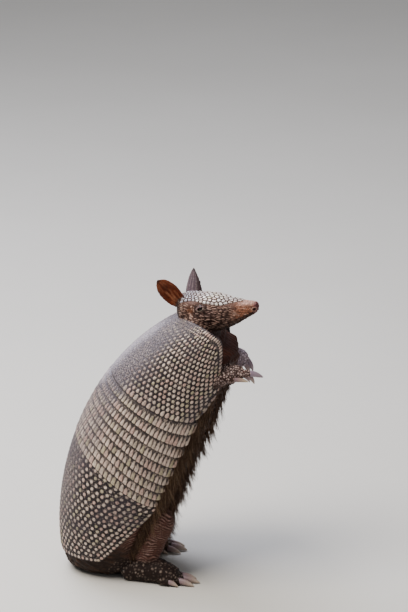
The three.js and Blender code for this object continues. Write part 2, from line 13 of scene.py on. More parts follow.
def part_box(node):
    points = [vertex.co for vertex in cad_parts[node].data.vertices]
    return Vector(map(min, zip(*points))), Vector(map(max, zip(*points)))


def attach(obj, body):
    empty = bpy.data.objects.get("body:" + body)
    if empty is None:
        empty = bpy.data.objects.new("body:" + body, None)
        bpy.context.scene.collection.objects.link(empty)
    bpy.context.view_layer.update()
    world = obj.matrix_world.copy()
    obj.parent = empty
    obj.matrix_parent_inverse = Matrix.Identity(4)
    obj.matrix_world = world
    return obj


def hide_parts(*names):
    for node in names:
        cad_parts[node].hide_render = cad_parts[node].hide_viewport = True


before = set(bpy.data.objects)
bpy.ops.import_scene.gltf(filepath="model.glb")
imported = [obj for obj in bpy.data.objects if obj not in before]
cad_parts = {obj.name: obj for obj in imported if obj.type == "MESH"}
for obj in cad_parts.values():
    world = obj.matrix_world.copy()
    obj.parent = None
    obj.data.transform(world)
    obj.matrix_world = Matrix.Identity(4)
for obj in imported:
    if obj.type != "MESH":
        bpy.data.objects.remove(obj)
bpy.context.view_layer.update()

MM = 0.001
BODY = "root"
SIDES = (("left", 1), ("right", -1))

# ---------------------------------------------------------------- driving dimensions

BACK_LINE = ((-95, 16), (-108, 118), (-62, 250), (46, 299))  # mid-back, rump to neck, X and Z
BELLY_LINE = ((14, 18), (34, 84), (66, 150), (104, 262))
TRUNK_SQUARENESS = 2.15
TRUNK_END = 0.94  # where the trunk meets the neck, as a share of its length
TRUNK_DOME = 6
RUMP_DEPTH = 24
BELLY_SWEEP = 0.03
FLESH_RISE = -1.2  # skin of the trunk, measured from the trunk surface

TRUNK_LENGTH = 300  # millimetres for the whole of `along`
HOOP_DEGREE = 1.16  # millimetres round the shell for each degree
SHELL_RISE = 2.4  # top of the shell's scutes over the trunk surface
SHELL_THICKNESS = 1.3
SHELL_WRAP = 137
SHOULDER_WRAP = 144
PELVIS_WRAP = 131
BAND_COUNT = 9
LOBE_ANGLE = 80
LEFT_SHOULDER_BACK = 0.055
TUCK = 0.010  # how far each plate reaches under the one in front, as a share of the length

OCCIPUT = np.array((34.6, 0.0, 0.0))
HEAD_YAW = math.radians(-14)
HEAD_SQUARENESS = 2.2
EYE_PLACE = 31.8
EYE_OUT = 16.6
EYE_HEIGHT = 310.6
EYE_RADIUS = 4.3
EYE_TILT = math.radians(28)
EYE_SUNK = 0.5
SHIELD_START = 5
SHIELD_END = 75
SHIELD_BREADTH = 42

EAR_LENGTH = 38.5
EAR_HALF_WIDTH = 10.6
EAR_THICKNESS = 2.0

HIND_STAGGER = 30  # the left hind foot stands this much further back
HIND_SPREAD = 4  # and this much further out
TAIL_RINGS = 9
TAIL_SINK = 0.5

BELLY_TUFTS = 560
HAIRS_PER_TUFT = 11
FRINGE_HAIRS = 3800

# size of the mesh's cells on each piece
SCAPULAR_CELL = 0.56
BAND_CELL = 0.44
PELVIC_CELL = 0.64
HEAD_SHIELD_CELL = 0.34
TAIL_CELL = 0.6
SKIN_CELL = 0.92

# ---------------------------------------------------------------- numbers and curves


def lerp(a, b, t):
    return a + (b - a) * t


def between(x, low, high):
    return np.clip((x - low) / (high - low), 0, 1)


def smooth(x, low, high):
    t = between(x, low, high)
    return t * t * (3 - 2 * t)


def hill(x, centre, width):
    return np.exp(-(((x - centre) / width) ** 2))


def unit(v):
    return v / np.linalg.norm(v, axis=-1, keepdims=True)


def profile(*stations):
    """Smooth curve through (place, value) stations, level beyond both ends."""
    places = np.array([s[0] for s in stations], float)
    values = np.array([s[1] for s in stations], float)
    last = len(places) - 1
    before = np.maximum(np.arange(last + 1) - 1, 0)
    after = np.minimum(np.arange(last + 1) + 1, last)
    slopes = (values[after] - values[before]) / (places[after] - places[before])

    def curve(x):
        x = np.clip(x, places[0], places[-1])
        i = np.clip(np.searchsorted(places, x, side="right") - 1, 0, last - 1)
        span = places[i + 1] - places[i]
        s = (x - places[i]) / span
        bend = s * (1 - s) * span * ((1 - s) * slopes[i] - s * slopes[i + 1])
        return lerp(values[i], values[i + 1], s * s * (3 - 2 * s)) + bend

    return curve


def rounded_square(angle, squareness):
    c = np.abs(np.cos(angle)) ** squareness
    s = np.abs(np.sin(angle)) ** squareness
    return (c + s) ** (-1 / squareness)


def bezier(line, t):
    a, b, c, d = (np.array(p, float) for p in line)
    t = np.asarray(t, float)[..., None]
    s = 1 - t
    return s**3 * a + 3 * s * s * t * b + 3 * s * t * t * c + t**3 * d


def spline(points, count):
    """Evenly many points and tangents on the centripetal curve through the given ones."""
    p = np.array(points, float)
    p = np.vstack([2 * p[0] - p[1], p, 2 * p[-1] - p[-2]])
    spot = np.linspace(0, len(points) - 1, count)
    i = np.minimum(spot.astype(int), len(points) - 2)
    w = (spot - i)[:, None]
    p0, p1, p2, p3 = p[i], p[i + 1], p[i + 2], p[i + 3]
    steps = (p1 - p0, p2 - p1, p3 - p2)
    d0, d1, d2 = (np.sqrt(np.linalg.norm(step, axis=1))[:, None] for step in steps)
    m1 = d1 * ((p1 - p0) / d0 - (p2 - p0) / (d0 + d1) + (p2 - p1) / d1)
    m2 = d1 * ((p2 - p1) / d1 - (p3 - p1) / (d1 + d2) + (p3 - p2) / d2)
    c2 = -3 * p1 + 3 * p2 - 2 * m1 - m2
    c3 = 2 * p1 - 2 * p2 + m1 + m2
    place_on = p1 + m1 * w + c2 * w**2 + c3 * w**3
    tangent = m1 + 2 * c2 * w + 3 * c3 * w**2
    return place_on, unit(tangent)


# ---------------------------------------------------------------- repeatable noise


def hashed(cells, seed):
    """A random number from 0 to 1 for each whole-number cell."""
    n = cells.astype(np.int64).astype(np.uint64)
    h = np.full(n.shape[:-1], 2654435769 * (seed + 1) % 2**32, np.uint64)
    for axis in range(n.shape[-1]):
        h = (h ^ (n[..., axis] & np.uint64(0xFFFFFFFF))) * np.uint64(0x9E3779B97F4A7C15)
        h ^= h >> np.uint64(29)
    return (h >> np.uint64(40)).astype(float) / 2**24


def noise(points, size, seed=0):
    """Smooth noise from -1 to 1 with features of about the given size."""
    p = points / size
    base = np.floor(p)
    f = p - base
    f = f * f * (3 - 2 * f)
    total = np.zeros(len(p))
    for corner in product((0, 1), repeat=p.shape[1]):
        weight = np.prod(np.where(corner, f, 1 - f), axis=1)
        total += weight * hashed(base + corner, seed)
    return 2 * total - 1


def scales(points, size, seed=0, scatter=0.75):
    """Irregular scales: the distance to each one's seam and its own random number."""
    p = points / size
    base = np.floor(p)
    nearest = np.full(len(p), 9.0)
    second = np.full(len(p), 9.0)
    own = np.zeros(len(p))
    for corner in product((-1, 0, 1), repeat=3):
        cell = base + corner
        centre = cell + 0.5 + scatter * (
            np.stack([hashed(cell, seed + k) for k in range(3)], axis=1) - 0.5
        )
        far = np.linalg.norm(p - centre, axis=1)
        closer = far < nearest
        second = np.where(closer, nearest, np.minimum(second, far))
        own = np.where(closer, hashed(cell, seed + 7), own)
        nearest = np.minimum(nearest, far)
    return (second - nearest) * size / 2, own


# ---------------------------------------------------------------- trunk, head and tail surfaces

trunk_half_width = profile(
    (0, 52), (0.15, 64), (0.35, 70), (0.55, 69), (0.75, 64), (0.9, 58), (1, 53), (1.1, 47)
)


def trunk_point(along, around, rise):
    """`along` from the rump (0) to the neck (1), `around` from the mid-back, left positive."""
    along, around, rise = np.broadcast_arrays(along, around, rise)
    place_on = along + BELLY_SWEEP * between(np.abs(around), 1.6, 2.4) ** 2
    back, belly = bezier(BACK_LINE, place_on), bezier(BELLY_LINE, place_on)
    reach = rounded_square(around, TRUNK_SQUARENESS)
    outward = reach + 2 * rise / np.linalg.norm(belly - back, axis=-1)
    spot = lerp(back, belly, (0.5 * (1 - outward * np.cos(around)))[..., None])
    side = (trunk_half_width(along) + rise) * reach * np.sin(around)
    return np.stack([spot[..., 0], side, spot[..., 1]], axis=-1)


HEAD_SECTIONS = (
    # distance from the occiput, top, bottom, half width
    (0, 316.5, 296, 10),
    (5, 319.2, 286, 16.5),
    (12, 320.6, 282.5, 20),
    (22, 321.8, 280.5, 21.8),
    (32, 322.8, 280, 22),
    (42, 323.4, 281.2, 20.6),
    (52, 322.4, 284.5, 17.8),
    (61, 321.3, 289, 14.6),
    (70, 320.7, 294.9, 11.6),
    (78, 320.9, 300.5, 9.2),
    (84, 321.1, 304.8, 7.7),
    (88.3, 320.8, 308, 6.5),
    (90.2, 319.6, 310.2, 4.8),
)
head_top = profile(*((s[0], s[1]) for s in HEAD_SECTIONS))
head_bottom = profile(*((s[0], s[2]) for s in HEAD_SECTIONS))
head_half_width = profile(*((s[0], s[3]) for s in HEAD_SECTIONS))
HEAD_AHEAD = np.array((math.cos(HEAD_YAW), math.sin(HEAD_YAW), 0))
HEAD_LEFT = np.array((-math.sin(HEAD_YAW), math.cos(HEAD_YAW), 0))


def in_head(along, left, height):
    along, left, height = (np.asarray(x, float)[..., None] for x in (along, left, height))
    return OCCIPUT + HEAD_AHEAD * along + HEAD_LEFT * left + np.array((0, 0, 1)) * height


def head_point(along, around, rise):
    half_height = (head_top(along) - head_bottom(along)) / 2
    middle = (head_top(along) + head_bottom(along)) / 2
    reach = rounded_square(around, HEAD_SQUARENESS)
    left = (head_half_width(along) + rise) * reach * np.sin(around)
    height = middle + (half_height + rise) * reach * np.cos(around)
    return in_head(along, left, height)


eye_low, eye_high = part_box("eye_right")
EYE_RIGHT = in_head(EYE_PLACE, -EYE_OUT, EYE_HEIGHT)
OFFSET = np.array((eye_low + eye_high) / 2) / MM - EYE_RIGHT


def place(points):
    return (np.asarray(points) + OFFSET) * MM


TAIL_LINE = (
    (-58, 8, 0), (-77, 36, 0), (-87, 78, 0), (-88, 150, 0), (-74, 232, 0), (-50, 305, 0), (-33, 358, 0)
)
tail_radius = profile(
    (0, 19), (0.15, 17.5), (0.35, 13.5), (0.6, 9.5), (0.8, 6.3), (0.93, 4), (1, 1.6)
)
TAIL_SAMPLES, TAIL_TANGENTS = spline(TAIL_LINE, 400)
TAIL_STEPS = np.append(0, np.cumsum(np.linalg.norm(np.diff(TAIL_SAMPLES, axis=0), axis=1)))
TAIL_LENGTH = TAIL_STEPS[-1]


def tail_start(index):
    return 0.05 + 0.8 * (index / TAIL_RINGS) ** 0.92


def tail_point(along, around, rise):
    """`along` from inside the rump (0) to the tip (1), `around` from the top line."""
    far = along * TAIL_LENGTH
    middle = [np.interp(far, TAIL_STEPS, TAIL_SAMPLES[:, k]) for k in (0, 1)]
    ahead = [np.interp(far, TAIL_STEPS, TAIL_TANGENTS[:, k]) for k in (0, 1)]
    radius = tail_radius(along)
    out = (radius + rise) * np.sin(around)
    height = radius * 1.05 - TAIL_SINK + (radius + rise) * np.cos(around)
    return np.stack(
        [middle[0] - ahead[1] * out, middle[1] + ahead[0] * out, np.maximum(height, 0)], axis=-1
    )


# ---------------------------------------------------------------- meshes


def new_object(name, data):
    made = bpy.data.objects.new(name, data)
    bpy.context.scene.collection.objects.link(made)
    return made


def write_points(mesh, points):
    mesh.vertices.foreach_set("co", place(points).astype(np.float32).ravel())


def make_mesh(name, points, faces, attributes=None, uv=None):
    """An object from points and arrays of faces, each array holding faces of one size."""
    corners = np.concatenate([f.ravel() for f in faces])
    sizes = np.concatenate([np.full(len(f), f.shape[1]) for f in faces])
    mesh = bpy.data.meshes.new(name)
    mesh.vertices.add(len(points))
    write_points(mesh, points)
    mesh.loops.add(len(corners))
    mesh.loops.foreach_set("vertex_index", corners.astype(np.int32))
    mesh.polygons.add(len(sizes))
    mesh.polygons.foreach_set("loop_start", np.append(0, np.cumsum(sizes)[:-1]).astype(np.int32))
    mesh.update(calc_edges=True)
    mesh.shade_smooth()
    for key, values in (attributes or {}).items():
        add_attribute(mesh, key, values)
    if uv is not None:
        layer = mesh.uv_layers.new(name="OFBake")
        layer.uv.foreach_set("vector", uv.astype(np.float32).ravel())
    return new_object(name, mesh)


def add_attribute(mesh, key, values):
    values = np.asarray(values, np.float32)
    if values.ndim == 1:
        mesh.attributes.new(key, "FLOAT", "POINT").data.foreach_set("value", values)
        return
    rgba = np.column_stack([values, np.ones(len(values), np.float32)])
    mesh.attributes.new(key, "FLOAT_COLOR", "POINT").data.foreach_set("color", rgba.ravel())


def finish_piece(piece, nodes, material):
    piece.data.materials.clear()
    piece.data.materials.append(material)
    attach(piece, BODY)
    if nodes:
        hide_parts(*nodes)


def grid_quads(rows, columns, start=0, wrap=False):
    """Faces of a grid of points stored row by row; `wrap` joins the last column to the first."""
    i, j = np.meshgrid(np.arange(rows - 1), np.arange(columns if wrap else columns - 1), indexing="ij")
    k = (j + 1) % columns
    corners = [i * columns + j, i * columns + k, (i + 1) * columns + k, (i + 1) * columns + j]
    return start + np.stack(corners, -1).reshape(-1, 4)


def loft(rings, start, end):
    """A closed tube through rings (rows, sides, 3), with a point closing each end."""
    rows, sides = rings.shape[:2]
    points = np.vstack([rings.reshape(-1, 3), start, end])
    j = np.arange(sides)
    k = (j + 1) % sides
    last = (rows - 1) * sides
    start_cap = np.column_stack([np.full(sides, rows * sides), k, j])
    end_cap = np.column_stack([np.full(sides, rows * sides + 1), last + j, last + k])
    return points, [grid_quads(rows, sides, wrap=True), np.vstack([start_cap, end_cap])]


INNER_STEP = 8  # the hidden face of a plate is this many times coarser
ACROSS_UV = (0.02, 0.98)
OUTER_UV = (0.02, 0.80)  # the plate's show face, then its hidden face, up the bake map
INNER_UV = (0.88, 0.98)
RIM_UV = 0.012


def plate(name, outer, inner, attributes):
    """A closed plate: a fine show face, a coarse hidden face and the rim between them."""
    rows, columns = outer.shape[:2]
    coarse = inner[::INNER_STEP, ::INNER_STEP]
    inner_rows, inner_columns = coarse.shape[:2]
    points = np.vstack([outer.reshape(-1, 3), coarse.reshape(-1, 3)])
    start = rows * columns
    show = grid_quads(rows, columns)
    hidden = grid_quads(inner_rows, inner_columns, start)[:, ::-1]

    v, u = np.meshgrid(np.linspace(0, 1, rows), np.linspace(0, 1, columns), indexing="ij")
    show_uv = np.stack([lerp(*ACROSS_UV, u), lerp(*OUTER_UV, v)], -1).reshape(-1, 2)
    hidden_spot = np.stack([u, v], -1)[::INNER_STEP, ::INNER_STEP].reshape(-1, 2)
    hidden_u, hidden_v = hidden_spot.T
    hidden_uv = np.column_stack([lerp(*ACROSS_UV, hidden_u), lerp(*INNER_UV, hidden_v)])
    outward = np.sign(hidden_spot - 0.5) * (np.abs(hidden_spot - 0.5) > 0.499)
    rim_uv = show_uv.reshape(rows, columns, 2)[::INNER_STEP, ::INNER_STEP].reshape(-1, 2)
    rim_uv = rim_uv + RIM_UV * outward

    def rim(fine, coarse_row):
        """Faces between a run of fine border points and a run of coarse ones."""
        faces = []
        for k in range(len(coarse_row) - 1):
            run = fine[k * INNER_STEP : (k + 1) * INNER_STEP + 1]
            faces.append(np.concatenate([run[::-1], [coarse_row[k], coarse_row[k + 1]]]))
        return np.array(faces)

    fine = np.arange(rows * columns).reshape(rows, columns)
    rough = start + np.arange(inner_rows * inner_columns).reshape(inner_rows, inner_columns)
    edges = ((0, slice(None)), (slice(None), -1), (-1, slice(None, None, -1)), (slice(None, None, -1), 0))
    rims = np.vstack([rim(fine[edge], rough[edge]) for edge in edges])
    rim_map = np.vstack([show_uv, rim_uv])
    uv = np.vstack([show_uv[show.ravel()], hidden_uv[hidden.ravel() - start], rim_map[rims.ravel()]])
    spread = {}
    for key, values in attributes.items():
        spread[key] = np.concatenate([values.ravel(), np.zeros(len(points) - start)])
    return make_mesh(name, points, [show, hidden, rims], spread, uv)


# ---------------------------------------------------------------- materials


def colour(code):
    """A linear colour from an sRGB hex code."""
    parts = [int(code[i : i + 2], 16) / 255 for i in (0, 2, 4)]
    return np.array([c / 12.92 if c <= 0.04045 else ((c + 0.055) / 1.055) ** 2.4 for c in parts])


class Finish:
    """A node material, built up from its Principled shader."""

    def __init__(self, name, **sockets):
        self.material = bpy.data.materials.new(name)
        self.material.use_nodes = True
        self.tree = self.material.node_tree
        self.shader = self.tree.nodes["Principled BSDF"]
        for key, value in sockets.items():
            self.set(key.replace("_", " "), value)

    def feed(self, socket, value):
        """Links a socket to another node's output, or gives it a plain value."""
        if isinstance(value, bpy.types.NodeSocket):
            self.tree.links.new(value, socket)
        else:
            socket.default_value = value

    def set(self, key, value):
        self.feed(self.shader.inputs[key], value)

    def node(self, kind, inputs=None, **settings):
        made = self.tree.nodes.new(kind)
        for key, value in settings.items():
            setattr(made, key, value)
        for key, value in (inputs or {}).items():
            self.feed(made.inputs[key], value)
        return made

    def attribute(self, key, output="Fac"):
        return self.node("ShaderNodeAttribute", attribute_name=key).outputs[output]

    def noise(self, size_mm, detail=3, stretch=(1, 1, 1)):
        where = self.node("ShaderNodeTexCoord").outputs["Object"]
        scaled = self.node("ShaderNodeMapping", {"Vector": where, "Scale": stretch}).outputs["Vector"]
        inputs = {"Vector": scaled, "Scale": 1 / (size_mm * MM), "Detail": detail, "Roughness": 0.6}
        return self.node("ShaderNodeTexNoise", inputs).outputs["Fac"]

    def pores(self, size_mm):
        where = self.node("ShaderNodeTexCoord").outputs["Object"]
        inputs = {"Vector": where, "Scale": 1 / (size_mm * MM), "Randomness": 0.85}
        distance = self.node("ShaderNodeTexVoronoi", inputs).outputs["Distance"]
        return self.range(distance, 0.3, 0.5, 1, 0)

    def range(self, value, low, high, to_low, to_high):
        inputs = {"Value": value, "From Min": low, "From Max": high, "To Min": to_low, "To Max": to_high}
        return self.node("ShaderNodeMapRange", inputs).outputs["Result"]

    def mix(self, share, a, b):
        """Mixes two colours; each is a socket or an sRGB hex code."""
        made = self.node("ShaderNodeMix", data_type="RGBA")
        for key, value in (("Factor_Float", share), ("A_Color", a), ("B_Color", b)):
            socket = next(s for s in made.inputs if s.identifier == key)
            self.feed(socket, (*colour(value), 1) if isinstance(value, str) else value)
        return next(s for s in made.outputs if s.identifier == "Result_Color")

    def maths(self, operation, a, b):
        made = self.node("ShaderNodeMath", operation=operation)
        for socket, value in zip(made.inputs, (a, b)):
            self.feed(socket, value)
        return made.outputs["Value"]

    def bump(self, height, depth_mm):
        inputs = {"Height": height, "Distance": depth_mm * MM, "Strength": 1.0}
        self.set("Normal", self.node("ShaderNodeBump", inputs).outputs["Normal"])


def scute_finish(name, pale, pink, olive, groove, groove_light, dust_and_sheen, rim, pore_share):
    """Horny scutes: pale raised figures, each a little different, over dark grooves; a grey-lilac tone of
    dust and painted sheen lies over them, lightening to a painted rim highlight.
    """
    f = Finish(name, Specular_IOR_Level=0.4)
    tint = f.attribute("tint")
    mottle = f.noise(2.0, detail=4)
    raised = f.mix(f.range(tint, 0.0, 0.45, 0.9, 0), pale, pink)
    raised = f.mix(f.range(tint, 0.75, 1.0, 0, 0.8), raised, olive)
    raised = f.mix(f.range(mottle, 0.4, 0.68, 0, 0.5), raised, groove_light)
    floor = f.mix(f.range(f.noise(1.1), 0.42, 0.68, 0, 1), groove, groove_light)
    floor = f.mix(f.attribute("fleck"), floor, pale)
    surface = f.mix(f.attribute("pale"), floor, raised)
    soiled = f.maths("MULTIPLY", f.attribute("soil"), f.range(mottle, 0.3, 0.7, 0.3, 1))
    surface = f.mix(soiled, surface, groove_light)
    # painted sheen: this attribute's share mixes a grey-lilac tone, partly dust and partly painted sheen,
    # over the scutes, and a lighter painted rim highlight where it passes a half
    dust_sheen_share = f.attribute("dust_and_sheen")
    tone = f.mix(f.range(dust_sheen_share, 0.5, 1, 0, 1), dust_and_sheen, rim)
    thick = f.range(dust_sheen_share, 0, 0.6, 0, 0.9)
    patchy = f.range(f.noise(1.2, detail=2), 0.38, 0.6, 0.4, 1)
    surface = f.mix(f.maths("MULTIPLY", thick, patchy), surface, tone)
    pored = f.range(dust_sheen_share, 0, 0.4, 0, pore_share)
    pored = f.maths("MULTIPLY", pored, f.range(dust_sheen_share, 0.55, 1, 1, 0.45))
    surface = f.mix(f.maths("MULTIPLY", f.pores(2.0), pored), surface, groove_light)
    f.set("Base Color", surface)
    f.set("Roughness", f.range(f.attribute("pale"), 0, 1, 0.66, 0.4))
    fine = f.maths("ADD", f.noise(0.55, detail=2), f.maths("MULTIPLY", f.noise(2.6), 0.8))
    f.bump(fine, 0.13)
    return f.material


def skin_finish():
    f = Finish("skin", Roughness=0.62, Specular_IOR_Level=0.35, Subsurface_Weight=0.06)
    f.shader.inputs["Subsurface Radius"].default_value = (0.004, 0.0015, 0.001)
    f.shader.inputs["Subsurface Scale"].default_value = 0.6
    base = f.attribute("colour", "Color")
    darker = f.mix(0.45, base, "000000")
    mottled = f.mix(f.range(f.noise(1.6, detail=4), 0.35, 0.65, 0.7, 0), base, darker)
    f.set("Base Color", mottled)
    fine = f.maths("ADD", f.noise(0.5, detail=2), f.noise(1.7, detail=3))
    f.bump(fine, 0.22)
    return f.material


def claw_finish():
    f = Finish("claw", Roughness=0.32, Specular_IOR_Level=0.5)
    along = f.attribute("along")
    horn = f.mix(f.range(along, 0.2, 0.95, 0, 1), "a78a7c", "cfc0a6")
    root = f.mix(f.range(along, 0.1, 0.75, 0.8, 0), horn, "75626c")
    grey = f.mix(f.attribute("tint"), root, "8a7c8c")
    streak = f.noise(1.0, detail=3, stretch=(0.35, 2.5, 2.5))
    f.set("Base Color", f.mix(f.range(streak, 0.45, 0.7, 0, 0.4), grey, "6a5148"))
    f.bump(streak, 0.12)
    return f.material


def eye_finish():
    f = Finish("eye", Roughness=0.14, Specular_IOR_Level=0.4)
    iris = f.mix(f.range(f.noise(0.6), 0.35, 0.65, 0, 1), "120b08", "2a1a10")
    f.set("Base Color", f.mix(f.attribute("pupil"), iris, "030202"))
    return f.material


def hair_finish():
    f = Finish("hair", Roughness=0.5, Specular_IOR_Level=0.4)
    tint = f.attribute("tint")
    dark = f.mix(tint, "24160f", "5a3a2a")
    pale = f.mix(tint, "7a5a44", "c8b190")
    shade = f.mix(f.attribute("along"), dark, pale)
    f.set("Base Color", f.mix(f.range(f.noise(2.0), 0.4, 0.7, 0, 0.5), shade, dark))
    return f.material


SCUTES = {
    # pale, pink, olive, groove, light groove, grey-lilac tone of dust and painted sheen, lighter painted
    # rim highlight; and how much the pores show
    "shell": ("dccabb", "d2afa1", "b3ab88", "17110f", "484046", "67636d", "a5a1ad", 0.95),
    "head_scute": ("faf5f1", "dcc5b8", "cfc3a4", "21130e", "553a30", "8387a3", "b9bccd", 0.0),
    "tail": ("a08d7a", "8b7263", "857c5d", "1f1612", "4a3a31", "8b8286", "8b8286", 0.0),
}
FINISH = {name: scute_finish(name, *looks) for name, looks in SCUTES.items()}
FINISH["skin"] = skin_finish()
FINISH["claw"] = claw_finish()
FINISH["eye"] = eye_finish()
FINISH["hair"] = hair_finish()

# ---------------------------------------------------------------- scutes on a flat map


def nearest_scutes(places, centres):
    """For each flat place: the nearest centre's number, the offset to it and the seam's distance."""
    tree = kdtree.KDTree(len(centres))
    for i, (x, y) in enumerate(centres):
        tree.insert((x, y, 0), i)
    tree.balance()
    found = [tree.find_n((x, y, 0), 2) for x, y in places.tolist()]
    first = np.array([f[0][1] for f in found])
    second = np.array([f[1][1] for f in found])
    to_first = places - centres[first]
    apart = centres[second] - centres[first]
    width = np.linalg.norm(apart, axis=1)
    seam = width / 2 - np.sum(to_first * apart, axis=1) / width
    return first, to_first, seam


def along_border(line, pitch, inset, shift):
    """Points every `pitch` along a flat polyline, moved `inset` to its left-hand side."""
    steps = np.append(0, np.cumsum(np.linalg.norm(np.diff(line, axis=0), axis=1)))
    far = np.arange(pitch * (0.5 + shift), steps[-1] - pitch * 0.3, pitch)
    spot = np.column_stack([np.interp(far, steps, line[:, k]) for k in (0, 1)])
    ahead = np.column_stack([np.interp(far, steps, np.gradient(line[:, k])) for k in (0, 1)])
    ahead = unit(ahead)
    return spot + inset * np.column_stack([-ahead[:, 1], ahead[:, 0]])


def spread_out(free, fixed, apart):
    """Pushes free points to about `apart` from each other and from the fixed ones."""
    free = free.copy()
    for _ in range(24):
        both = np.vstack([free, fixed])
        gap = free[:, None] - both[None]
        size = np.linalg.norm(gap, axis=2)
        size[np.arange(len(free)), np.arange(len(free))] = 99
        push = np.clip(apart - size, 0, None) / np.maximum(size, 0.1)
        free += 0.22 * np.sum(gap * push[..., None], axis=1)
    return free


def away_from(centres, others, least):
    gaps = np.linalg.norm(centres[:, None, :2] - others[None], axis=2).min(axis=1)
    return centres[gaps > least]


def specks(places, size, seed):
    """Small round flecks, one in each cell of about the given size, from 0 to 1."""
    p = places / size
    base = np.floor(p)
    best = np.zeros(len(p))
    for corner in product((-1, 0, 1), repeat=2):
        cell = base + corner
        jitter = np.stack([hashed(cell, seed), hashed(cell, seed + 1)], axis=1)
        far = np.linalg.norm(p - cell - 0.2 - 0.6 * jitter, axis=1)
        reach = 0.2 + 0.16 * hashed(cell, seed + 2)
        best = np.maximum(best, smooth(far, reach + 0.12, reach - 0.06))
    return best


# ---------------------------------------------------------------- shell


def shoulder_rear(angle):
    return 0.682 + 0.024 * between(angle, 0, 120)


def last_band_rear(angle):
    return 0.448 - 0.145 * (angle / PELVIS_WRAP) ** 1.9


def shoulder_front(angle):
    size = np.abs(angle)
    set_back = LEFT_SHOULDER_BACK * between(angle, 0, LOBE_ANGLE)
    lobe = 0.08 * np.sin(between(size, 0, LOBE_ANGLE) * math.pi / 2)
    corner = 0.2 * between(size, 95, SHOULDER_WRAP) ** 2
    return 0.955 + lobe - corner - set_back


def shoulder_rear_rounded(angle):
    return shoulder_rear(angle) + 0.11 * between(angle, 124, SHOULDER_WRAP) ** 2.6


def band_rear(index, angle):
    """Rear edge of band `index`, where 0 is the shoulder shield and 9 the last band."""
    share = index / BAND_COUNT
    droop = 0.025 * (angle / PELVIS_WRAP) ** 4 * math.sin(math.pi * share)
    return lerp(shoulder_rear(angle), last_band_rear(angle), share) - droop


def band_rear_rounded(index, angle):
    """The same edge with the band's end corners rounded off."""
    end = lerp(SHELL_WRAP, PELVIS_WRAP + 1, index / BAND_COUNT)
    return band_rear(index, angle) + 0.018 * between(np.abs(angle), end - 9, end) ** 2.2


def pelvis_rear(angle):
    side = 0.26 * between(angle, 84, PELVIS_WRAP) ** 1.25
    tail_notch = 0.07 * np.exp(-((angle / 16) ** 2))
    return 0.02 + side + tail_notch


def even_count(length, size):
    """A number of grid steps of about `size` that the hidden face's coarser grid divides."""
    return INNER_STEP * max(1, round(length / size / INNER_STEP))


def flat(angle, along):
    """A place on the shell's flat map, in millimetres."""
    return np.stack([angle * HOOP_DEGREE, along * TRUNK_LENGTH], axis=-1)


def worn(angle):
    """How far the figures near the mid-back dissolve into a fine grey grain."""
    return smooth(np.abs(angle + 3), 55, 30)


def shell_dust_and_sheen(angle, along):
    """How far the grey-lilac tone of dust and painted sheen covers the mid-back, passing a half near the
    dorsal line for the painted rim highlight, with a little on the neck margin.
    """
    across = np.abs(angle + 4)
    back = (0.5 * smooth(across, 59, 36) + 0.5 * smooth(across, 26, 2)) * smooth(along, 0.0, 0.3)
    back = back * lerp(0.4, 1, smooth(along, 0.58, 0.66)) * lerp(1, 0.6, smooth(along, 0.86, 0.95))
    neck = 0.15 * smooth(along, 0.93, 0.985) * smooth(np.abs(angle), 76, 52)
    return np.maximum(back, neck)


def shell_plate(name, node, front, rear, wrap, cell, relief, tuck_front):
    """A plate of the shell between two edges; relief gives its height and marks on the flat map."""
    columns = even_count(2 * wrap * HOOP_DEGREE, cell) + 1
    middle_length = TRUNK_LENGTH * float(front(np.array(40.0)) - rear(np.array(40.0)))
    rows = even_count(middle_length + TRUNK_LENGTH * tuck_front, cell) + 1
    angle, u = np.meshgrid(np.linspace(-wrap, wrap, columns), np.linspace(0, 1, rows))
    low = rear(np.abs(angle))
    high = front(angle)
    along = lerp(low, high + tuck_front, u)
    marks = relief(angle, along, low, high)
    tucked = smooth(along, high - 0.002, high + tuck_front)
    side_edge = smooth(wrap - np.abs(angle), 0, 1.2)
    from_rear = (along - low) * TRUNK_LENGTH
    rear_edge = smooth(from_rear, -0.2, 0.7)
    rise = SHELL_RISE + marks.pop("height") - 1.5 * tucked
    rise = rise - 0.7 * (1 - side_edge) - 0.5 * (1 - rear_edge)
    outer = trunk_point(along, np.radians(angle), rise)
    inner = trunk_point(along, np.radians(angle), SHELL_RISE - SHELL_THICKNESS - 0.9 * tucked - 0.4)
    # painted shade: the pale figures, flecks and sheen fade out within about a millimetre of the plate's
    # rear edge and, where the plate tucks under the one in front, of the line where that one overlaps it;
    # this dark line stands for the shadow of the overlap and partly for the dark skin in the gap
    seam = rear_edge
    if tuck_front:
        seam = smooth(from_rear, 0.15, 0.6) * smooth((high - along) * TRUNK_LENGTH, 0.3, 1.3)
    for key in ("pale", "fleck"):
        marks[key] = marks[key] * side_edge * seam
    # painted sheen: share of the grey-lilac dust and painted sheen, with the painted rim highlight near
    # the dorsal line
    marks["dust_and_sheen"] = shell_dust_and_sheen(angle, along) * seam
    piece = plate(name, outer, inner, marks)
    finish_piece(piece, [node], FINISH["shell"])


def own_number(own, seed):
    """A random number from 0 to 1 for each numbered scute."""
    return hashed(np.column_stack([own, own]), seed)


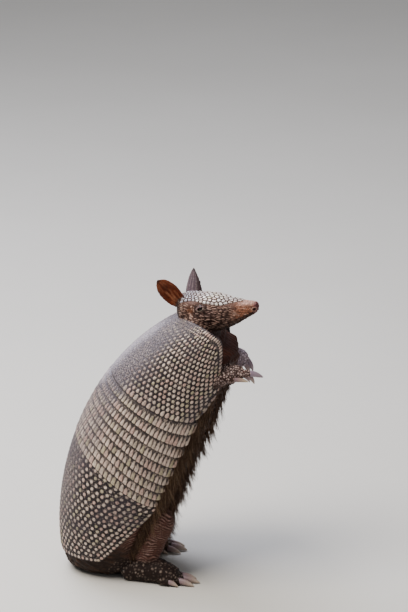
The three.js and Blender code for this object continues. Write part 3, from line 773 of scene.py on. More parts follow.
def shield_relief(centres, radii, taper, boss_height, seed, faint):
    """Raised figures at the given centres on a dark ground with small flecks between."""

    def relief(angle, along, *_edges):
        places = flat(angle, along).reshape(-1, 2)
        own, offset, seam = nearest_scutes(places, centres)
        spot = offset / radii[own]
        spot[:, 0] /= 1 - taper[own] * np.clip(spot[:, 1], -1, 1)
        power = 2 + 2.5 * taper[own]
        far = (np.abs(spot[:, 0]) ** power + np.abs(spot[:, 1]) ** power) ** (1 / power)
        worn_here = faint(angle, along).ravel()
        far = far * (1 + 0.3 * worn_here) + 0.1 * noise(places, 1.5, seed + 9)
        figure = 1 - smooth(far, 0.5, 1.15)
        ground = -0.12 * (1 - smooth(seam, 0, 0.5))
        rough = 0.06 * noise(places, 1.1, seed)
        dots = specks(places, 2.3, seed + 3)
        grain = specks(places, 1.9, seed + 4)
        sparse = smooth(noise(places, 1.6, seed + 6), -0.1, 0.5)
        own_pale = 0.82 + 0.18 * own_number(own, seed + 1)
        around_figure = smooth(far, 1.0, 1.3)
        flecks = around_figure * lerp(0.4 * sparse * dots, grain, worn_here)
        marks = {
            "height": boss_height * (1 - 0.5 * worn_here) * (figure - 1) + ground + rough + 0.2 * flecks,
            "pale": own_pale * (1 - smooth(far, 0.8, 1.1)) * (1 - 0.6 * worn_here),
            "tint": own_number(own, seed),
            "fleck": flecks,
            "soil": 0.6 * smooth(noise(places, 24, seed + 5), 0.0, 0.6),
        }
        return {key: values.reshape(angle.shape) for key, values in marks.items()}

    return relief


def jittered(centres, amount, seed):
    cells = np.round(centres * 10)
    shifts = np.column_stack([hashed(cells, seed), hashed(cells, seed + 1)]) - 0.5
    return centres + 2 * amount * shifts


def staggered_rows(count, pitch):
    """Rows of places round the hoop, every other row half a pitch on, and their angles' size."""
    for row in range(count):
        q = (np.arange(-34, 35) + 0.5 * (row % 2)) * pitch
        yield row, q, np.abs(q / HOOP_DEGREE)


SCAPULAR_PITCH = (5.9, 5.3)  # round the hoop and along the body
PELVIC_PITCH = (6.8, 6.2)


def scapular_faint(angle, along):
    """How far the figures dissolve; they stay clearer towards the neck."""
    return worn(angle) * lerp(1, 0.45, smooth(along, 0.86, 0.95))


def pelvic_faint(angle, along):
    return 0.55 * worn(angle) * smooth(along, 0.05, 0.3)


NECK_ROWS_ANGLE = 64  # the margin over the neck has rows of small scutes within this angle


def scapular_shield():
    angles = np.linspace(SHOULDER_WRAP - 1, -SHOULDER_WRAP + 1, 400)
    border = flat(angles, shoulder_front(angles))
    edging = along_border(border, 5.5, 2.8, 0)
    edging = edging[np.abs(edging[:, 0]) > NECK_ROWS_ANGLE * HOOP_DEGREE]
    small = [along_border(border, 3.9, 1.9 + 3.5 * row, 0.5 * (row % 2)) for row in range(3)]
    small = jittered(np.vstack(small), 0.5, 14)
    small = away_from(small[np.abs(small[:, 0]) < (NECK_ROWS_ANGLE + 12) * HOOP_DEGREE], edging, 3.6)
    lattice = []
    across, down = SCAPULAR_PITCH
    for row, q, size in staggered_rows(30, across):
        first = 3.7 if row == 0 else 4.6 + row * down
        b = TRUNK_LENGTH * shoulder_rear_rounded(size) + first
        margin = lerp(12.5, 6, smooth(size, NECK_ROWS_ANGLE - 2, NECK_ROWS_ANGLE + 12))
        keep = (size < SHOULDER_WRAP - 1) & (b < TRUNK_LENGTH * shoulder_front(q / HOOP_DEGREE) - margin)
        lattice.append(np.column_stack([q, b, np.full(len(q), row)])[keep])
    lattice = np.vstack(lattice)
    lattice = away_from(lattice, edging, 3.7)
    low_rows = lattice[lattice[:, 2] < 2]
    free = jittered(lattice[lattice[:, 2] >= 2, :2], 0.5, 11)
    fixed = np.vstack([low_rows[:, :2], edging])
    centres = np.vstack([low_rows[:, :2], spread_out(free, fixed, 5.9), edging, small])
    row_of = np.concatenate([low_rows[:, 2], np.full(len(free) + len(edging) + len(small), 9)])
    side = smooth(np.abs(centres[:, 0]) / HOOP_DEGREE, 50, 125)
    radius = 1.68 + 0.35 * side + 0.25 * (hashed(centres * 10, 12) - 0.5)
    radius[-len(small) :] = 1.3
    radius[-len(small) - len(edging) : -len(small)] = 2.15
    radii = np.column_stack([radius, radius * 1.05])
    radii[row_of == 0] = (2.15, 3.3)
    radii[row_of == 1] = (1.8, 2.2)
    taper = np.where(row_of == 0, 0.34, np.where(row_of == 1, 0.15, 0.0))
    relief = shield_relief(centres, radii, taper, 0.62, 21, scapular_faint)
    shell_plate(
        "shell_scapular", "scapular_shield", shoulder_front, shoulder_rear_rounded,
        SHOULDER_WRAP, SCAPULAR_CELL, relief, 0.0,
    )


def pelvic_shield():
    angles = np.linspace(-PELVIS_WRAP + 1, PELVIS_WRAP - 1, 400)
    border = flat(angles, pelvis_rear(np.abs(angles)))
    edging = along_border(border, 5.9, 3.1, 0)
    across, down = PELVIC_PITCH
    lattice = []
    for row, q, size in staggered_rows(34, across):
        b = TRUNK_LENGTH * last_band_rear(size) - 3.8 - row * down
        keep = (size < PELVIS_WRAP - 1) & (b > TRUNK_LENGTH * pelvis_rear(size) + 4)
        lattice.append(np.column_stack([q, b])[keep])
    kept = jittered(away_from(np.vstack(lattice), edging, 4.6), 0.5, 31)
    centres = np.vstack([spread_out(kept, edging, 6.8), edging])
    side = smooth(np.abs(centres[:, 0]) / HOOP_DEGREE, 70, 125)
    radius = 1.92 + 0.2 * side + 0.3 * (hashed(centres * 10, 32) - 0.5)
    radii = np.column_stack([radius, radius * 1.1])
    relief = shield_relief(centres, radii, np.zeros(len(centres)), 0.6, 41, pelvic_faint)
    shell_plate(
        "shell_pelvic", "pelvic_shield", lambda a: band_rear(BAND_COUNT, np.abs(a)), pelvis_rear,
        PELVIS_WRAP, PELVIC_CELL, relief, TUCK,
    )


wedge_pitch = profile((1, 4.8), (4, 4.5), (6, 4.85), (9, 5.2))  # round the hoop, by band


def band_relief(index):
    """Pale wedges, broad at the band's rear margin and narrow towards the head."""

    def relief(angle, along, low, high):
        q = angle * HOOP_DEGREE / wedge_pitch(float(index)) + 0.37 * index
        shares = between(along, low, high)
        number = np.floor(q)
        own = np.stack([number, np.full_like(number, index)], -1)
        shift = 0.12 * (hashed(own, 3) - 0.5)
        across = np.abs(q - number - 0.5 - shift)
        flank = smooth(np.abs(angle), 64, 122)
        back = index / BAND_COUNT
        tip = lerp(lerp(0.1, 0.34, back), 0.15, flank) + 0.08 * (hashed(own, 4) - 0.5)
        wide = 0.42 + 0.05 * (hashed(own, 5) - 0.5)
        far_end = lerp(lerp(0.66, 0.78, back), 0.86, flank) + 0.16 * (hashed(own, 6) - 0.5)
        half = lerp(wide, tip, between(shares, 0.08, far_end) ** 1.5)
        half = half * np.sqrt(np.clip(1 - between(shares, far_end - 0.22, far_end) ** 2, 0, 1))
        half = half * (0.85 + 0.15 * smooth(shares, 0.0, 0.1))
        inside = half - across
        wedge = smooth(inside, -0.09, 0.06)
        crown = np.clip(1 - (across / np.maximum(half, 0.02)) ** 2, 0, 1)
        places = flat(angle, along).reshape(-1, 2)
        rough = noise(places, 1.2, 50 + index).reshape(angle.shape)
        streaks = noise(places * (1.0, 0.35), 0.8, 70 + index).reshape(angle.shape)
        dots = specks(places, 2.2, 80 + index).reshape(angle.shape)
        worn_here = 0.35 * worn(angle)
        brown = 0.06 + lerp(0.24, 0.42, flank) * smooth(streaks, 0.1, 0.6)
        flecks = lerp(brown, 0.9 * dots, worn_here)
        slope = lerp(0.5, -0.75, shares)
        # painted shade: the wedges fade towards the band's front and stop short of it, at far_end, for
        # the shadow of the band in front; the dark strip left there is partly the dark ground between
        # wedges
        pale = smooth(inside, -0.02, 0.05) * (1 - 0.4 * worn_here) * lerp(1, 0.7, shares)
        return {
            "height": slope + 0.5 * (wedge - 1) + 0.26 * crown * wedge + 0.05 * rough,
            "pale": pale * (0.8 + 0.2 * hashed(own, 7)),
            "tint": hashed(own, 8),
            "fleck": flecks,
            "soil": 0.3 * smooth(noise(places, 30, 90), 0.1, 0.7).reshape(angle.shape),
        }

    return relief


def bands():
    for index in range(1, BAND_COUNT + 1):
        shell_plate(
            f"shell_band_{index}",
            f"band_{index}",
            lambda a, i=index: band_rear(i - 1, np.abs(a)),
            lambda a, i=index: band_rear_rounded(i, a),
            lerp(SHELL_WRAP, PELVIS_WRAP + 1, index / BAND_COUNT),
            BAND_CELL,
            band_relief(index),
            TUCK,
        )


# ---------------------------------------------------------------- head shield

shield_half_angle = profile(
    (5, 58), (12, 48), (22, 43), (37, 50), (52, 52), (63, 38), (70, 24), (75, 12)
)


def shield_arc(along):
    """Half of the head shield's width, measured over the curve of the head."""
    return np.radians(shield_half_angle(along)) * (head_half_width(along) + 1) * 1.05


def head_scutes():
    """Centres of the head shield's scutes, and how many of the last ones form its edge."""
    edge_along = np.arange(SHIELD_START + 3, SHIELD_END - 3, 4.5)
    edge_arc = shield_arc(edge_along) - 1.7
    edging = np.vstack([np.column_stack([way * edge_arc, edge_along]) for way in (-1, 1)])
    edging = edging[np.abs(edging[:, 0]) > 3]
    centres = []
    for column in range(-9, 10):
        far = SHIELD_START + 1.5 + 2.2 * (column % 2)
        while far < SHIELD_END:
            narrow = lerp(1.0, 0.7, smooth(far, 50, 72)) * lerp(0.72, 1.0, smooth(far, 6, 26))
            centres.append((3.7 * column * float(narrow), far))
            far += float(lerp(3.2, 5.5, smooth(far, 12, 28)))
    centres = jittered(np.array(centres), 0.5, 61)
    centres = centres[np.abs(centres[:, 0]) < shield_arc(centres[:, 1]) - 1.7]
    return np.vstack([away_from(centres, edging, 3.1), edging]), len(edging)


def head_shield():
    rows = even_count(SHIELD_END - SHIELD_START, HEAD_SHIELD_CELL) + 1
    columns = even_count(SHIELD_BREADTH, HEAD_SHIELD_CELL) + 1
    share, along = np.meshgrid(np.linspace(-1, 1, columns), np.linspace(SHIELD_START, SHIELD_END, rows))
    angle = share * shield_half_angle(along)
    arc = np.radians(angle) * (head_half_width(along) + 1) * 1.05
    places = np.stack([arc, along], -1).reshape(-1, 2)
    centres, edge_count = head_scutes()
    own, offset, seam = nearest_scutes(places, centres)
    rounded = smooth(np.linalg.norm(offset, axis=1), 2.9, 2.3)
    round_edge = np.where(own < len(centres) - edge_count, 1, rounded)
    border = np.minimum(1 - np.abs(share.ravel()), 0.08) / 0.08
    ends = between(np.minimum(along - SHIELD_START, SHIELD_END - along).ravel(), 0, 2)
    inside = np.minimum(border, ends)
    figure = smooth(seam, 0.1, 0.95) * round_edge
    crisp = smooth(seam, 0.48, 0.92)
    marks = {
        "pale": crisp * round_edge * smooth(inside, 0.1, 0.5) * (0.85 + 0.15 * own_number(own, 62)),
        "tint": own_number(own, 63),
        "fleck": np.zeros(len(seam)),
        "soil": 0.4 * smooth(noise(places, 14, 64), 0.0, 0.7),
    }
    # painted sheen: a grey-blue tone of dust and painted sheen over the rear scutes of the head shield
    marks["dust_and_sheen"] = (0.5 * smooth(along.ravel(), 34, 12) + 0.06) * marks["pale"]
    height = 0.4 + 0.6 * (figure - 1) + 0.06 * noise(places, 1.1, 65) - 1.0 * (1 - smooth(inside, 0, 1))
    rise = height.reshape(along.shape)
    outer = head_point(along, np.radians(angle), rise)
    inner = head_point(along, np.radians(angle), np.full_like(rise, -1.6))
    piece = plate("shell_head", outer, inner, {k: v.reshape(along.shape) for k, v in marks.items()})
    finish_piece(piece, ["head_shield"], FINISH["head_scute"])


# ---------------------------------------------------------------- tail


def tail_marks(around_mm, along_mm, row_pitch, columns, girth, seed):
    """Short rows of scutes round the tail, each keeled along its middle."""
    row = np.floor(along_mm / row_pitch)
    q = around_mm / girth * columns + 0.5 * (row % 2)
    number = np.floor(q) % columns
    across = np.abs(q - np.floor(q) - 0.5)
    down = np.abs(along_mm / row_pitch - row - 0.5)
    edge = np.minimum(0.5 - across, 0.5 - down) * row_pitch
    own = np.stack([number, row], -1)
    return smooth(edge, 0.15, 0.9), smooth(edge, 0.3, 0.8), hashed(own, seed), across


def tail_piece(name, node, start, end, tuck, rows_of_scutes, flare, seed):
    length = (end - start) * TAIL_LENGTH
    middle_radius = float(tail_radius((start + end) / 2))
    girth = 2 * math.pi * middle_radius
    rows = max(8, round((length + tuck) / TAIL_CELL)) + 1
    columns = max(24, round(girth / TAIL_CELL))
    along = np.linspace(start - tuck / TAIL_LENGTH, end, rows)
    around = np.linspace(0, 2 * math.pi, columns, endpoint=False)
    angle, spot = np.meshgrid(around, along)
    far = (spot - start) * TAIL_LENGTH
    pitch = length / rows_of_scutes
    count = max(6, round(girth / 4.9))
    figure, pale, tint, across = tail_marks(angle * middle_radius, far, pitch, count, girth, seed)
    tucked = smooth(far, 0.3, -tuck)
    lip = smooth(length - far, 0, 0.9)
    slope = flare * far / length
    keel = 0.35 * (1 - smooth(across, 0, 0.35)) * (far > length - pitch)
    rise = slope + 0.4 * (figure - 1) + keel - 1.6 * tucked - 0.7 * (1 - lip) * (flare > 0)
    rings = tail_point(spot, angle, rise)
    start_pole = rings[0].mean(axis=0)
    end_pole = rings[-1].mean(axis=0)
    points, faces = loft(rings, start_pole, end_pole)
    zero = np.zeros(2)
    places = np.stack([angle * middle_radius, far], -1).reshape(-1, 2)
    marks = {
        "pale": (pale * (1 - tucked)).ravel(),
        "tint": tint.ravel(),
        "fleck": 0.3 * smooth(noise(places, 1.1, seed + 2), 0.4, 0.8),
        "soil": 0.6 * smooth(noise(places, 15, seed + 3), 0.0, 0.6),
        # painted sheen: a grey-mauve tone of dust and painted sheen along the tail's top
        "dust_and_sheen": 0.25 * smooth(np.cos(angle.ravel()), 0.2, 1),
    }
    marks = {key: np.concatenate([values, zero]) for key, values in marks.items()}
    piece = make_mesh(name, points, [f[:, ::-1] for f in faces], marks)
    finish_piece(piece, [node], FINISH["tail"])


def tail():
    for index in range(TAIL_RINGS):
        start, end = tail_start(index), tail_start(index + 1)
        name, node = f"tail_plate_{index + 1}", f"tail_ring_{index + 1}"
        tail_piece(name, node, start, end, 2.2, 3 if index < 6 else 2, 0.9, 100 + index)
    tail_piece("tail_end", "tail_tip", tail_start(TAIL_RINGS), 1.0, 2.0, 16, 0.0, 120)


# ---------------------------------------------------------------- eyes and claws


def eyes():
    for side, left in SIDES:
        centre = in_head(EYE_PLACE, left * (EYE_OUT - EYE_SUNK), EYE_HEIGHT)
        outward = unit(HEAD_LEFT * left + HEAD_AHEAD * 0.25 + np.array((0, 0, 0.1)))
        up = unit(np.cross(HEAD_AHEAD, HEAD_LEFT) - outward * 0.1)
        across = unit(np.cross(up, outward))
        up = np.cross(outward, across)
        tilt = np.linspace(0, math.pi, 26)[1:-1]
        turn = np.linspace(0, 2 * math.pi, 40, endpoint=False)
        t, a = np.meshgrid(tilt, turn, indexing="ij")
        cornea = 0.35 * hill(t, 0, 0.55)
        radius = EYE_RADIUS - 0.4 + cornea
        out = (np.cos(t) * radius)[..., None] * outward
        ring = np.sin(t) * radius
        rings = centre + out + (ring * np.cos(a))[..., None] * across
        rings = rings + (ring * np.sin(a))[..., None] * up
        front, back = centre + outward * (EYE_RADIUS - 0.05), centre - outward * (EYE_RADIUS - 0.4)
        points, faces = loft(rings, front, back)
        pupil = np.concatenate([smooth(t, 0.42, 0.3).ravel(), [1, 0]])
        piece = make_mesh(f"eyeball_{side}", points, faces, {"pupil": pupil})
        finish_piece(piece, [f"eye_{side}"], FINISH["eye"])


# Limbs are stations of x, y, z, half width and half height.
FORELEG = {
    "right": (
        (57, -34, 231, 10, 10),
        (68, -37, 231, 11, 10.5),
        (79, -38, 236, 10.5, 10),
        (90, -38, 241.5, 9.6, 9.3),
    ),
    "left": (
        (62, 38, 224, 12, 12),
        (79, 37, 214, 12, 12),
        (86, 32, 228, 10, 9.5),
        (91, 24.5, 241.5, 8.6, 8),
    ),
}
PALM = {
    "right": ((91, -38, 242.4, 9.4, 9), (99, -37.5, 244, 9, 8.6), (107, -37, 245.2, 7.4, 6)),
    "left": ((90, 23.5, 243, 7.8, 7.2), (95.5, 22.5, 242.5, 8.2, 7.2), (99.5, 22.5, 239, 7.4, 6.4)),
}
FINGERS = {
    # knuckle, end, claw's point, radius
    "right": (
        ((102, -31, 242), (108, -28.5, 239.5), (115, -26.5, 230.5), 3.2),
        ((107, -33, 244), (113.5, -31.5, 241.5), (120.5, -30.5, 230.5), 3.8),
        ((105, -39.5, 245.4), (116.5, -39, 245), (131.3, -38, 241.2), 4.6),
        ((94, -44, 239.3), (100.5, -44, 238.2), (116, -42.5, 236.6), 3.7),
    ),
    "left": (
        ((94, 16, 240), (96.5, 13.5, 235.5), (99.5, 12, 226.5), 3.3),
        ((98.5, 19, 240), (102.5, 18, 234.5), (107, 17.2, 223.5), 3.9),
        ((99.5, 25, 241), (104, 25.5, 235.5), (109.5, 26.5, 224), 4.2),
        ((96, 29.5, 241), (98.5, 31.5, 235.5), (102, 33, 226), 3.4),
    ),
}
HIND_LEG = (
    (-30, 28, 58, 24, 20),
    (-6, 34, 68, 24, 19),
    (17, 37, 70, 17, 16),
    (10, 40, 47, 15, 14),
    (3, 43, 26, 13, 12),
)
FOOT_MIDDLE = 43
HIND_FOOT = (
    (-18, FOOT_MIDDLE, 9, 9, 10.3),
    (-4, FOOT_MIDDLE, 13, 11.5, 14.3),
    (10, FOOT_MIDDLE, 13.5, 13, 14.8),
    (25, FOOT_MIDDLE, 10.5, 14, 11.8),
    (35, FOOT_MIDDLE, 7.5, 13.5, 8.8),
)
TOES = (
    # sideways, start, end, claw's point, radius
    (-11.5, 23, 33, 44, 4.2),
    (-6, 29, 42, 58, 5),
    (0, 31, 45, 63.5, 5.3),
    (6, 29, 42, 59, 5),
    (11.5, 21, 31, 42, 4.2),
)
CLAW_GREY = (0.6, 0.5, 0.85, 0.1)
TOE_SPLAY = 0.16
SIDEWAYS = np.array((0.0, 1.0, 0.0))
UPWARDS = np.array((0.0, 0.0, 1.0))


def hind_place(left, station):
    x, y, *rest = station
    if left > 0:
        return (x - HIND_STAGGER, y + HIND_SPREAD, *rest)
    return (x, -y, *rest)


def toe_digits(left):
    digits = []
    for sideways, start, end, point, radius in TOES:
        row = []
        for x, z in ((start, 5.4), (end, 4.4), (point, 0.9)):
            y = FOOT_MIDDLE + sideways + np.sign(sideways) * TOE_SPLAY * (x - start)
            row.append(hind_place(left, (x, y, z)))
        digits.append((*row, radius))
    return digits


def claw(name, node, digit, bow, hollow, grey):
    """A curved horny claw, round above and hollowed below, from inside the digit to its point."""
    knuckle, end, point, radius = digit
    start = lerp(np.array(end, float), np.array(knuckle, float), 0.25)
    tip = np.array(point, float)
    middle = (start + tip) / 2 + np.array(bow)
    rows, sides = 22, 20
    share = np.linspace(0, 0.97, rows)
    t = share[:, None]
    s = 1 - t
    line = s**2 * start + 2 * t * s * middle + t**2 * tip
    ahead = unit(2 * s * (middle - start) + 2 * t * (tip - middle))
    across = unit(np.cross(ahead, unit(np.cross(SIDEWAYS, ahead))))
    over = np.cross(across, ahead)
    over = over * np.sign(over[:, 2:] + 1e-6)
    angle = np.linspace(0, 2 * math.pi, sides, endpoint=False)
    thick = radius * 0.8 * (1 - 0.9 * share**2.8)
    wide = thick[:, None] * np.cos(angle) * 0.86
    high = thick[:, None] * np.sin(angle)
    high = np.where(high < 0, high * (1 - hollow * np.cos(angle) ** 2) * 0.8, high * 1.05)
    rings = line[:, None] + wide[..., None] * across[:, None] + high[..., None] * over[:, None]
    points, faces = loft(rings, start - ahead[0] * 0.3, tip)
    points[:, 2] = np.maximum(points[:, 2], 0.05)
    shares = np.concatenate([np.repeat(share, sides), [0, 1]])
    piece = make_mesh(name, points, faces, {"along": shares, "tint": np.full(len(shares), grey)})
    finish_piece(piece, [node], FINISH["claw"])


def claws():
    for side, left in SIDES:
        for i, digit in enumerate(FINGERS[side], 1):
            grey = CLAW_GREY[i - 1]
            claw(f"claw_fore_{side}_{i}", f"foreclaw_{side}_{i}", digit, (1.2, 0, 1.6), 0.5, grey)
        for i, digit in enumerate(toe_digits(left), 1):
            claw(f"claw_hind_{side}_{i}", f"hindclaw_{side}_{i}", digit, (0, 0, 2), 0.5, 0.35)


# ---------------------------------------------------------------- flesh under the skin


def dome_rings(middle, ring, reach, shares):
    """Rings that close a tube's end as a dome: shares of its last ring, moved on along `reach`."""
    return np.array([lerp(middle, ring, share) + math.sqrt(1 - share**2) * reach for share in shares])


def limb(stations, up, sides=28, steps=24):
    """A rounded tube through (x, y, z, half width, half height) stations, domed at both ends."""
    stations = np.array(stations, float)
    places, ahead = spline(stations[:, :3], steps + 1)
    spot = np.linspace(0, 1, len(stations))
    t = np.linspace(0, 1, steps + 1)
    half_width = profile(*zip(spot, stations[:, 3]))(t)
    half_height = profile(*zip(spot, stations[:, 4]))(t)
    side = unit(np.cross(up, ahead))
    over = np.cross(ahead, side)
    angle = np.linspace(0, 2 * math.pi, sides, endpoint=False)
    rings = (
        places[:, None]
        + (half_width[:, None] * np.cos(angle))[..., None] * side[:, None]
        + (half_height[:, None] * np.sin(angle))[..., None] * over[:, None]
    )

    def cap(k, way):
        reach = way * ahead[k] * (0.6 * min(half_width[k], half_height[k]))
        return dome_rings(places[k], rings[k], reach, (0.92, 0.7, 0.38)), places[k] + reach

    start_rings, start = cap(0, -1)
    end_rings, end = cap(-1, 1)
    return loft(np.concatenate([start_rings[::-1], rings, end_rings]), start, end)


def digit_flesh(digit):
    knuckle, end, _, radius = digit
    middle = lerp(np.array(knuckle, float), np.array(end, float), 0.5)
    stations = [
        (*knuckle, radius, radius * 0.92),
        (*middle, radius * 0.97, radius * 0.9),
        (*end, radius * 0.9, radius * 0.88),
    ]
    return limb(stations, SIDEWAYS, sides=20, steps=10)


def flesh_rise(along, around):
    """The skin's depth: a little under the shell, and more under the belly's hair."""
    belly = smooth(np.abs(around), math.radians(140), math.radians(168))
    chest = smooth(around, math.radians(85), math.radians(120)) * smooth(along, 0.78, 0.92)
    return FLESH_RISE - 3.2 * belly * smooth(along, 0.02, 0.2) * smooth(along, 0.75, 0.45) - 3.5 * chest


def trunk_flesh():
    around = np.linspace(-math.pi, math.pi, 96, endpoint=False)
    spots = np.linspace(0, TRUNK_END, 60)
    walls = np.array([trunk_point(a, around, flesh_rise(a, around)) for a in spots])
    ends = trunk_point(0.0, np.array((0.0, math.pi)), FLESH_RISE)
    middle = ends.mean(axis=0)
    down = UPWARDS * -(RUMP_DEPTH + FLESH_RISE)
    seat = dome_rings(middle, walls[0], down, (0.2, 0.4, 0.6, 0.75, 0.87, 0.96))
    front = trunk_point(TRUNK_END, np.array((0.0, math.pi)), FLESH_RISE)
    chest = front[0] - front[1]
    forward = unit(np.array((chest[2], 0, -chest[0])))
    front_middle = front.mean(axis=0)
    dome = dome_rings(front_middle, walls[-1], forward * TRUNK_DOME, (0.9, 0.6, 0.3))
    rings = np.concatenate([seat, walls, dome])
    rings[..., 2] = np.maximum(rings[..., 2], 0)
    seat_pole = np.array((middle[0], 0, 0))
    return loft(rings, seat_pole, front_middle + forward * TRUNK_DOME)


NECK_SECTIONS = (
    # nape x, z; throat x, z; half width; shift to the left
    (32, 283, 94, 244, 48, 0),
    (36, 292, 90, 257, 46, 0),
    (40, 299, 82.5, 269, 40, -1),
    (42, 306, 77.5, 280, 30, -3),
    (43, 311, 76, 290, 22, -5),
)
NECK_ENDS = (np.array((64, 0, 256)), np.array((62, -6, 301)))


def neck_flesh():
    spots = np.linspace(0, 1, len(NECK_SECTIONS))
    fine = np.linspace(0, 1, 16)
    curves = (profile(*zip(spots, column))(fine)[:, None] for column in zip(*NECK_SECTIONS))
    nape_x, nape_z, throat_x, throat_z, half_width, shift = curves
    angle = np.linspace(0, 2 * math.pi, 56, endpoint=False)
    share = 0.5 * (1 - np.cos(angle))
    x = lerp(nape_x, throat_x, share)
    z = lerp(nape_z, throat_z, share)
    y = shift + half_width * np.sin(angle)
    return loft(np.stack([x, y, z], -1), *NECK_ENDS)


def head_flesh():
    along = np.concatenate([np.linspace(0, 88.3, 60), [89.2, 89.8, 90.2]])
    angle = np.linspace(0, 2 * math.pi, 64, endpoint=False)
    rings = head_point(along[:, None], angle[None, :], np.float64(-0.3))
    return loft(rings, in_head(-1.2, 0, 305), in_head(91, 0, 315))


EARS = {
    # base, tip, the way the hollow faces
    "left": ((48, 12.6, 303), (45.6, 21.3, 339), (0.5, 0.82, -0.23)),
    "right": ((38, -14, 311), (12, -25, 341.5), (0.3, -0.92, 0.2)),
}
EAR_SHAPE = {"left": (1.38, 0.62), "right": (0.94, 0)}  # breadth, and how far the edges draw in
ear_outline = profile(
    (0, 0.6), (0.22, 0.9), (0.45, 1), (0.68, 0.92), (0.84, 0.7), (0.94, 0.4), (1, 0.08)
)
ear_hollow = profile((0, 7), (0.3, 7.5), (0.6, 4.5), (1, 0.8))


def ear_frame(side):
    base, tip, facing = (np.array(v, float) for v in EARS[side])
    along = unit(tip - base)
    across = unit(np.cross(along, facing))
    return base, along, across, unit(np.cross(across, along))


def ear_half_width(side, u):
    breadth, roll = EAR_SHAPE[side]
    return EAR_HALF_WIDTH * breadth * ear_outline(u) * (1 - roll * np.clip(u, 0, 1))


def ear_flesh(side):
    base, along, across, open_way = ear_frame(side)
    u = np.linspace(0, 1, 40)[:, None]
    breadth = np.linspace(-1, 1, 26)
    v = np.concatenate([breadth, breadth[::-1]])[None, :]
    face = np.repeat((1.0, -1.0), len(breadth))[None, :]
    half_width = ear_half_width(side, u)
    lift = face * 0.5 * EAR_THICKNESS * (1 - 0.1 * v * v) - ear_hollow(u) * (1 - v * v)
    rings = (
        base
        + along * (EAR_LENGTH * u)[..., None]
        + across * (half_width * v)[..., None]
        + open_way * lift[..., None]
    )
    heel = base - along - open_way * 0.5 * ear_hollow(0.0)
    return loft(rings, heel, base + along * (EAR_LENGTH + 0.6))


def all_flesh():
    parts = [trunk_flesh(), neck_flesh(), head_flesh()]
    for side, left in SIDES:
        parts.append(ear_flesh(side))
        parts.append(limb(FORELEG[side], SIDEWAYS))
        parts.append(limb(PALM[side], SIDEWAYS))
        parts += [digit_flesh(digit) for digit in FINGERS[side]]
        parts.append(limb([hind_place(left, s) for s in HIND_LEG], SIDEWAYS, sides=40))
        parts.append(limb([hind_place(left, s) for s in HIND_FOOT], UPWARDS, sides=36))
        parts += [digit_flesh(digit) for digit in toe_digits(left)]
    points, quads, triangles, start = [], [], [], 0
    for part_points, (part_quads, part_triangles) in parts:
        points.append(part_points)
        quads.append(part_quads + start)
        triangles.append(part_triangles + start)
        start += len(part_points)
    return np.vstack(points), [np.vstack(quads), np.vstack(triangles)]


# ---------------------------------------------------------------- skin

PALETTE = {
    key: colour(code)
    for key, code in (
        ("belly", "2c1d16"),
        ("throat", "4a1c0e"),
        ("belly_light", "5c4233"),
        ("cheek", "765a51"),
        ("ridge", "c9ac9c"),
        ("lid", "80686a"),
        ("lid_low", "70665c"),
        ("crease", "2c1814"),
        ("orange", "a3673c"),
        ("snout", "a27058"),
        ("snout_top_pink_highlight", "c9a394"),
        ("nose", "75484a"),
        ("neck", "50433f"),
        ("neck_scale", "a2968f"),
        ("ear_near", "8c4a30"),
        ("ear_light", "c48f6e"),
        ("ear_far", "605058"),
        ("ear_tip", "2c1b1b"),
        ("shank", "624238"),
        ("shank_light", "ab8c82"),
        ("paw", "dcc4bc"),
        ("paw_far_lit", "d0c0cc"),
        ("paw_dark", "3e2924"),
        ("foot", "94857a"),
        ("foot_dark", "2a1b16"),
    )
}
PALETTE["eye_slit"] = PALETTE["crease"] * 0.4


def remeshed(points, faces, cell):
    """One closed mesh round overlapping solids."""
    rough = make_mesh("flesh", points, faces)
    modifier = rough.modifiers.new("join", "REMESH")
    modifier.mode = "VOXEL"
    modifier.voxel_size = cell * MM
    graph = bpy.context.evaluated_depsgraph_get()
    mesh = bpy.data.meshes.new_from_object(rough.evaluated_get(graph))
    bpy.data.objects.remove(rough)
    return mesh


def read_vectors(data, key):
    values = np.empty(len(data) * 3, np.float32)
    data.foreach_get(key, values)
    return values.reshape(-1, 3).astype(float)


def skin_points(mesh):
    """The mesh's points in millimetres, in the figure's own frame."""
    return read_vectors(mesh.vertices, "co") / MM - OFFSET


def mesh_edges(mesh):
    edges = np.empty(len(mesh.edges) * 2, np.int32)
    mesh.edges.foreach_get("vertices", edges)
    return edges.reshape(-1, 2)


def relaxed(points, edges, amount, times=4):
    """Each point moves towards its neighbours' middle by `amount`, so creases round off."""
    count = np.bincount(edges.ravel(), minlength=len(points))[:, None]
    for _ in range(times):
        total = np.zeros_like(points)
        for axis in range(3):
            a = np.bincount(edges[:, 0], points[edges[:, 1], axis], len(points))
            b = np.bincount(edges[:, 1], points[edges[:, 0], axis], len(points))
            total[:, axis] = a + b
        points = points + amount[:, None] * (total / np.maximum(count, 1) - points)
    return points


def on_head_or_paws(points):
    s, _, z = head_places(points)
    head = (z > head_bottom(s) - 1) & (s > 2) | (z > 314)
    paws = (points[:, 0] > 86) & (points[:, 2] < 258)
    return head | paws


def near_an_eye(points):
    s, left, z = head_places(points)
    return (np.hypot(s - EYE_PLACE, z - EYE_HEIGHT) < 8) & (np.abs(left) > 10)


def refined(mesh, inside):
    """Splits the faces whose corners are marked as inside, so that small forms come out crisp."""
    work = bmesh.new()
    work.from_mesh(mesh)
    edges = [e for e in work.edges if inside[e.verts[0].index] and inside[e.verts[1].index]]
    bmesh.ops.subdivide_edges(work, edges=edges, cuts=1, use_grid_fill=True)
    work.to_mesh(mesh)
    work.free()


def paint(base, tint, share):
    """Colours moved towards a tint, which is one colour or one for each point."""
    return base + (tint - base) * np.clip(share, 0, 1)[:, None]


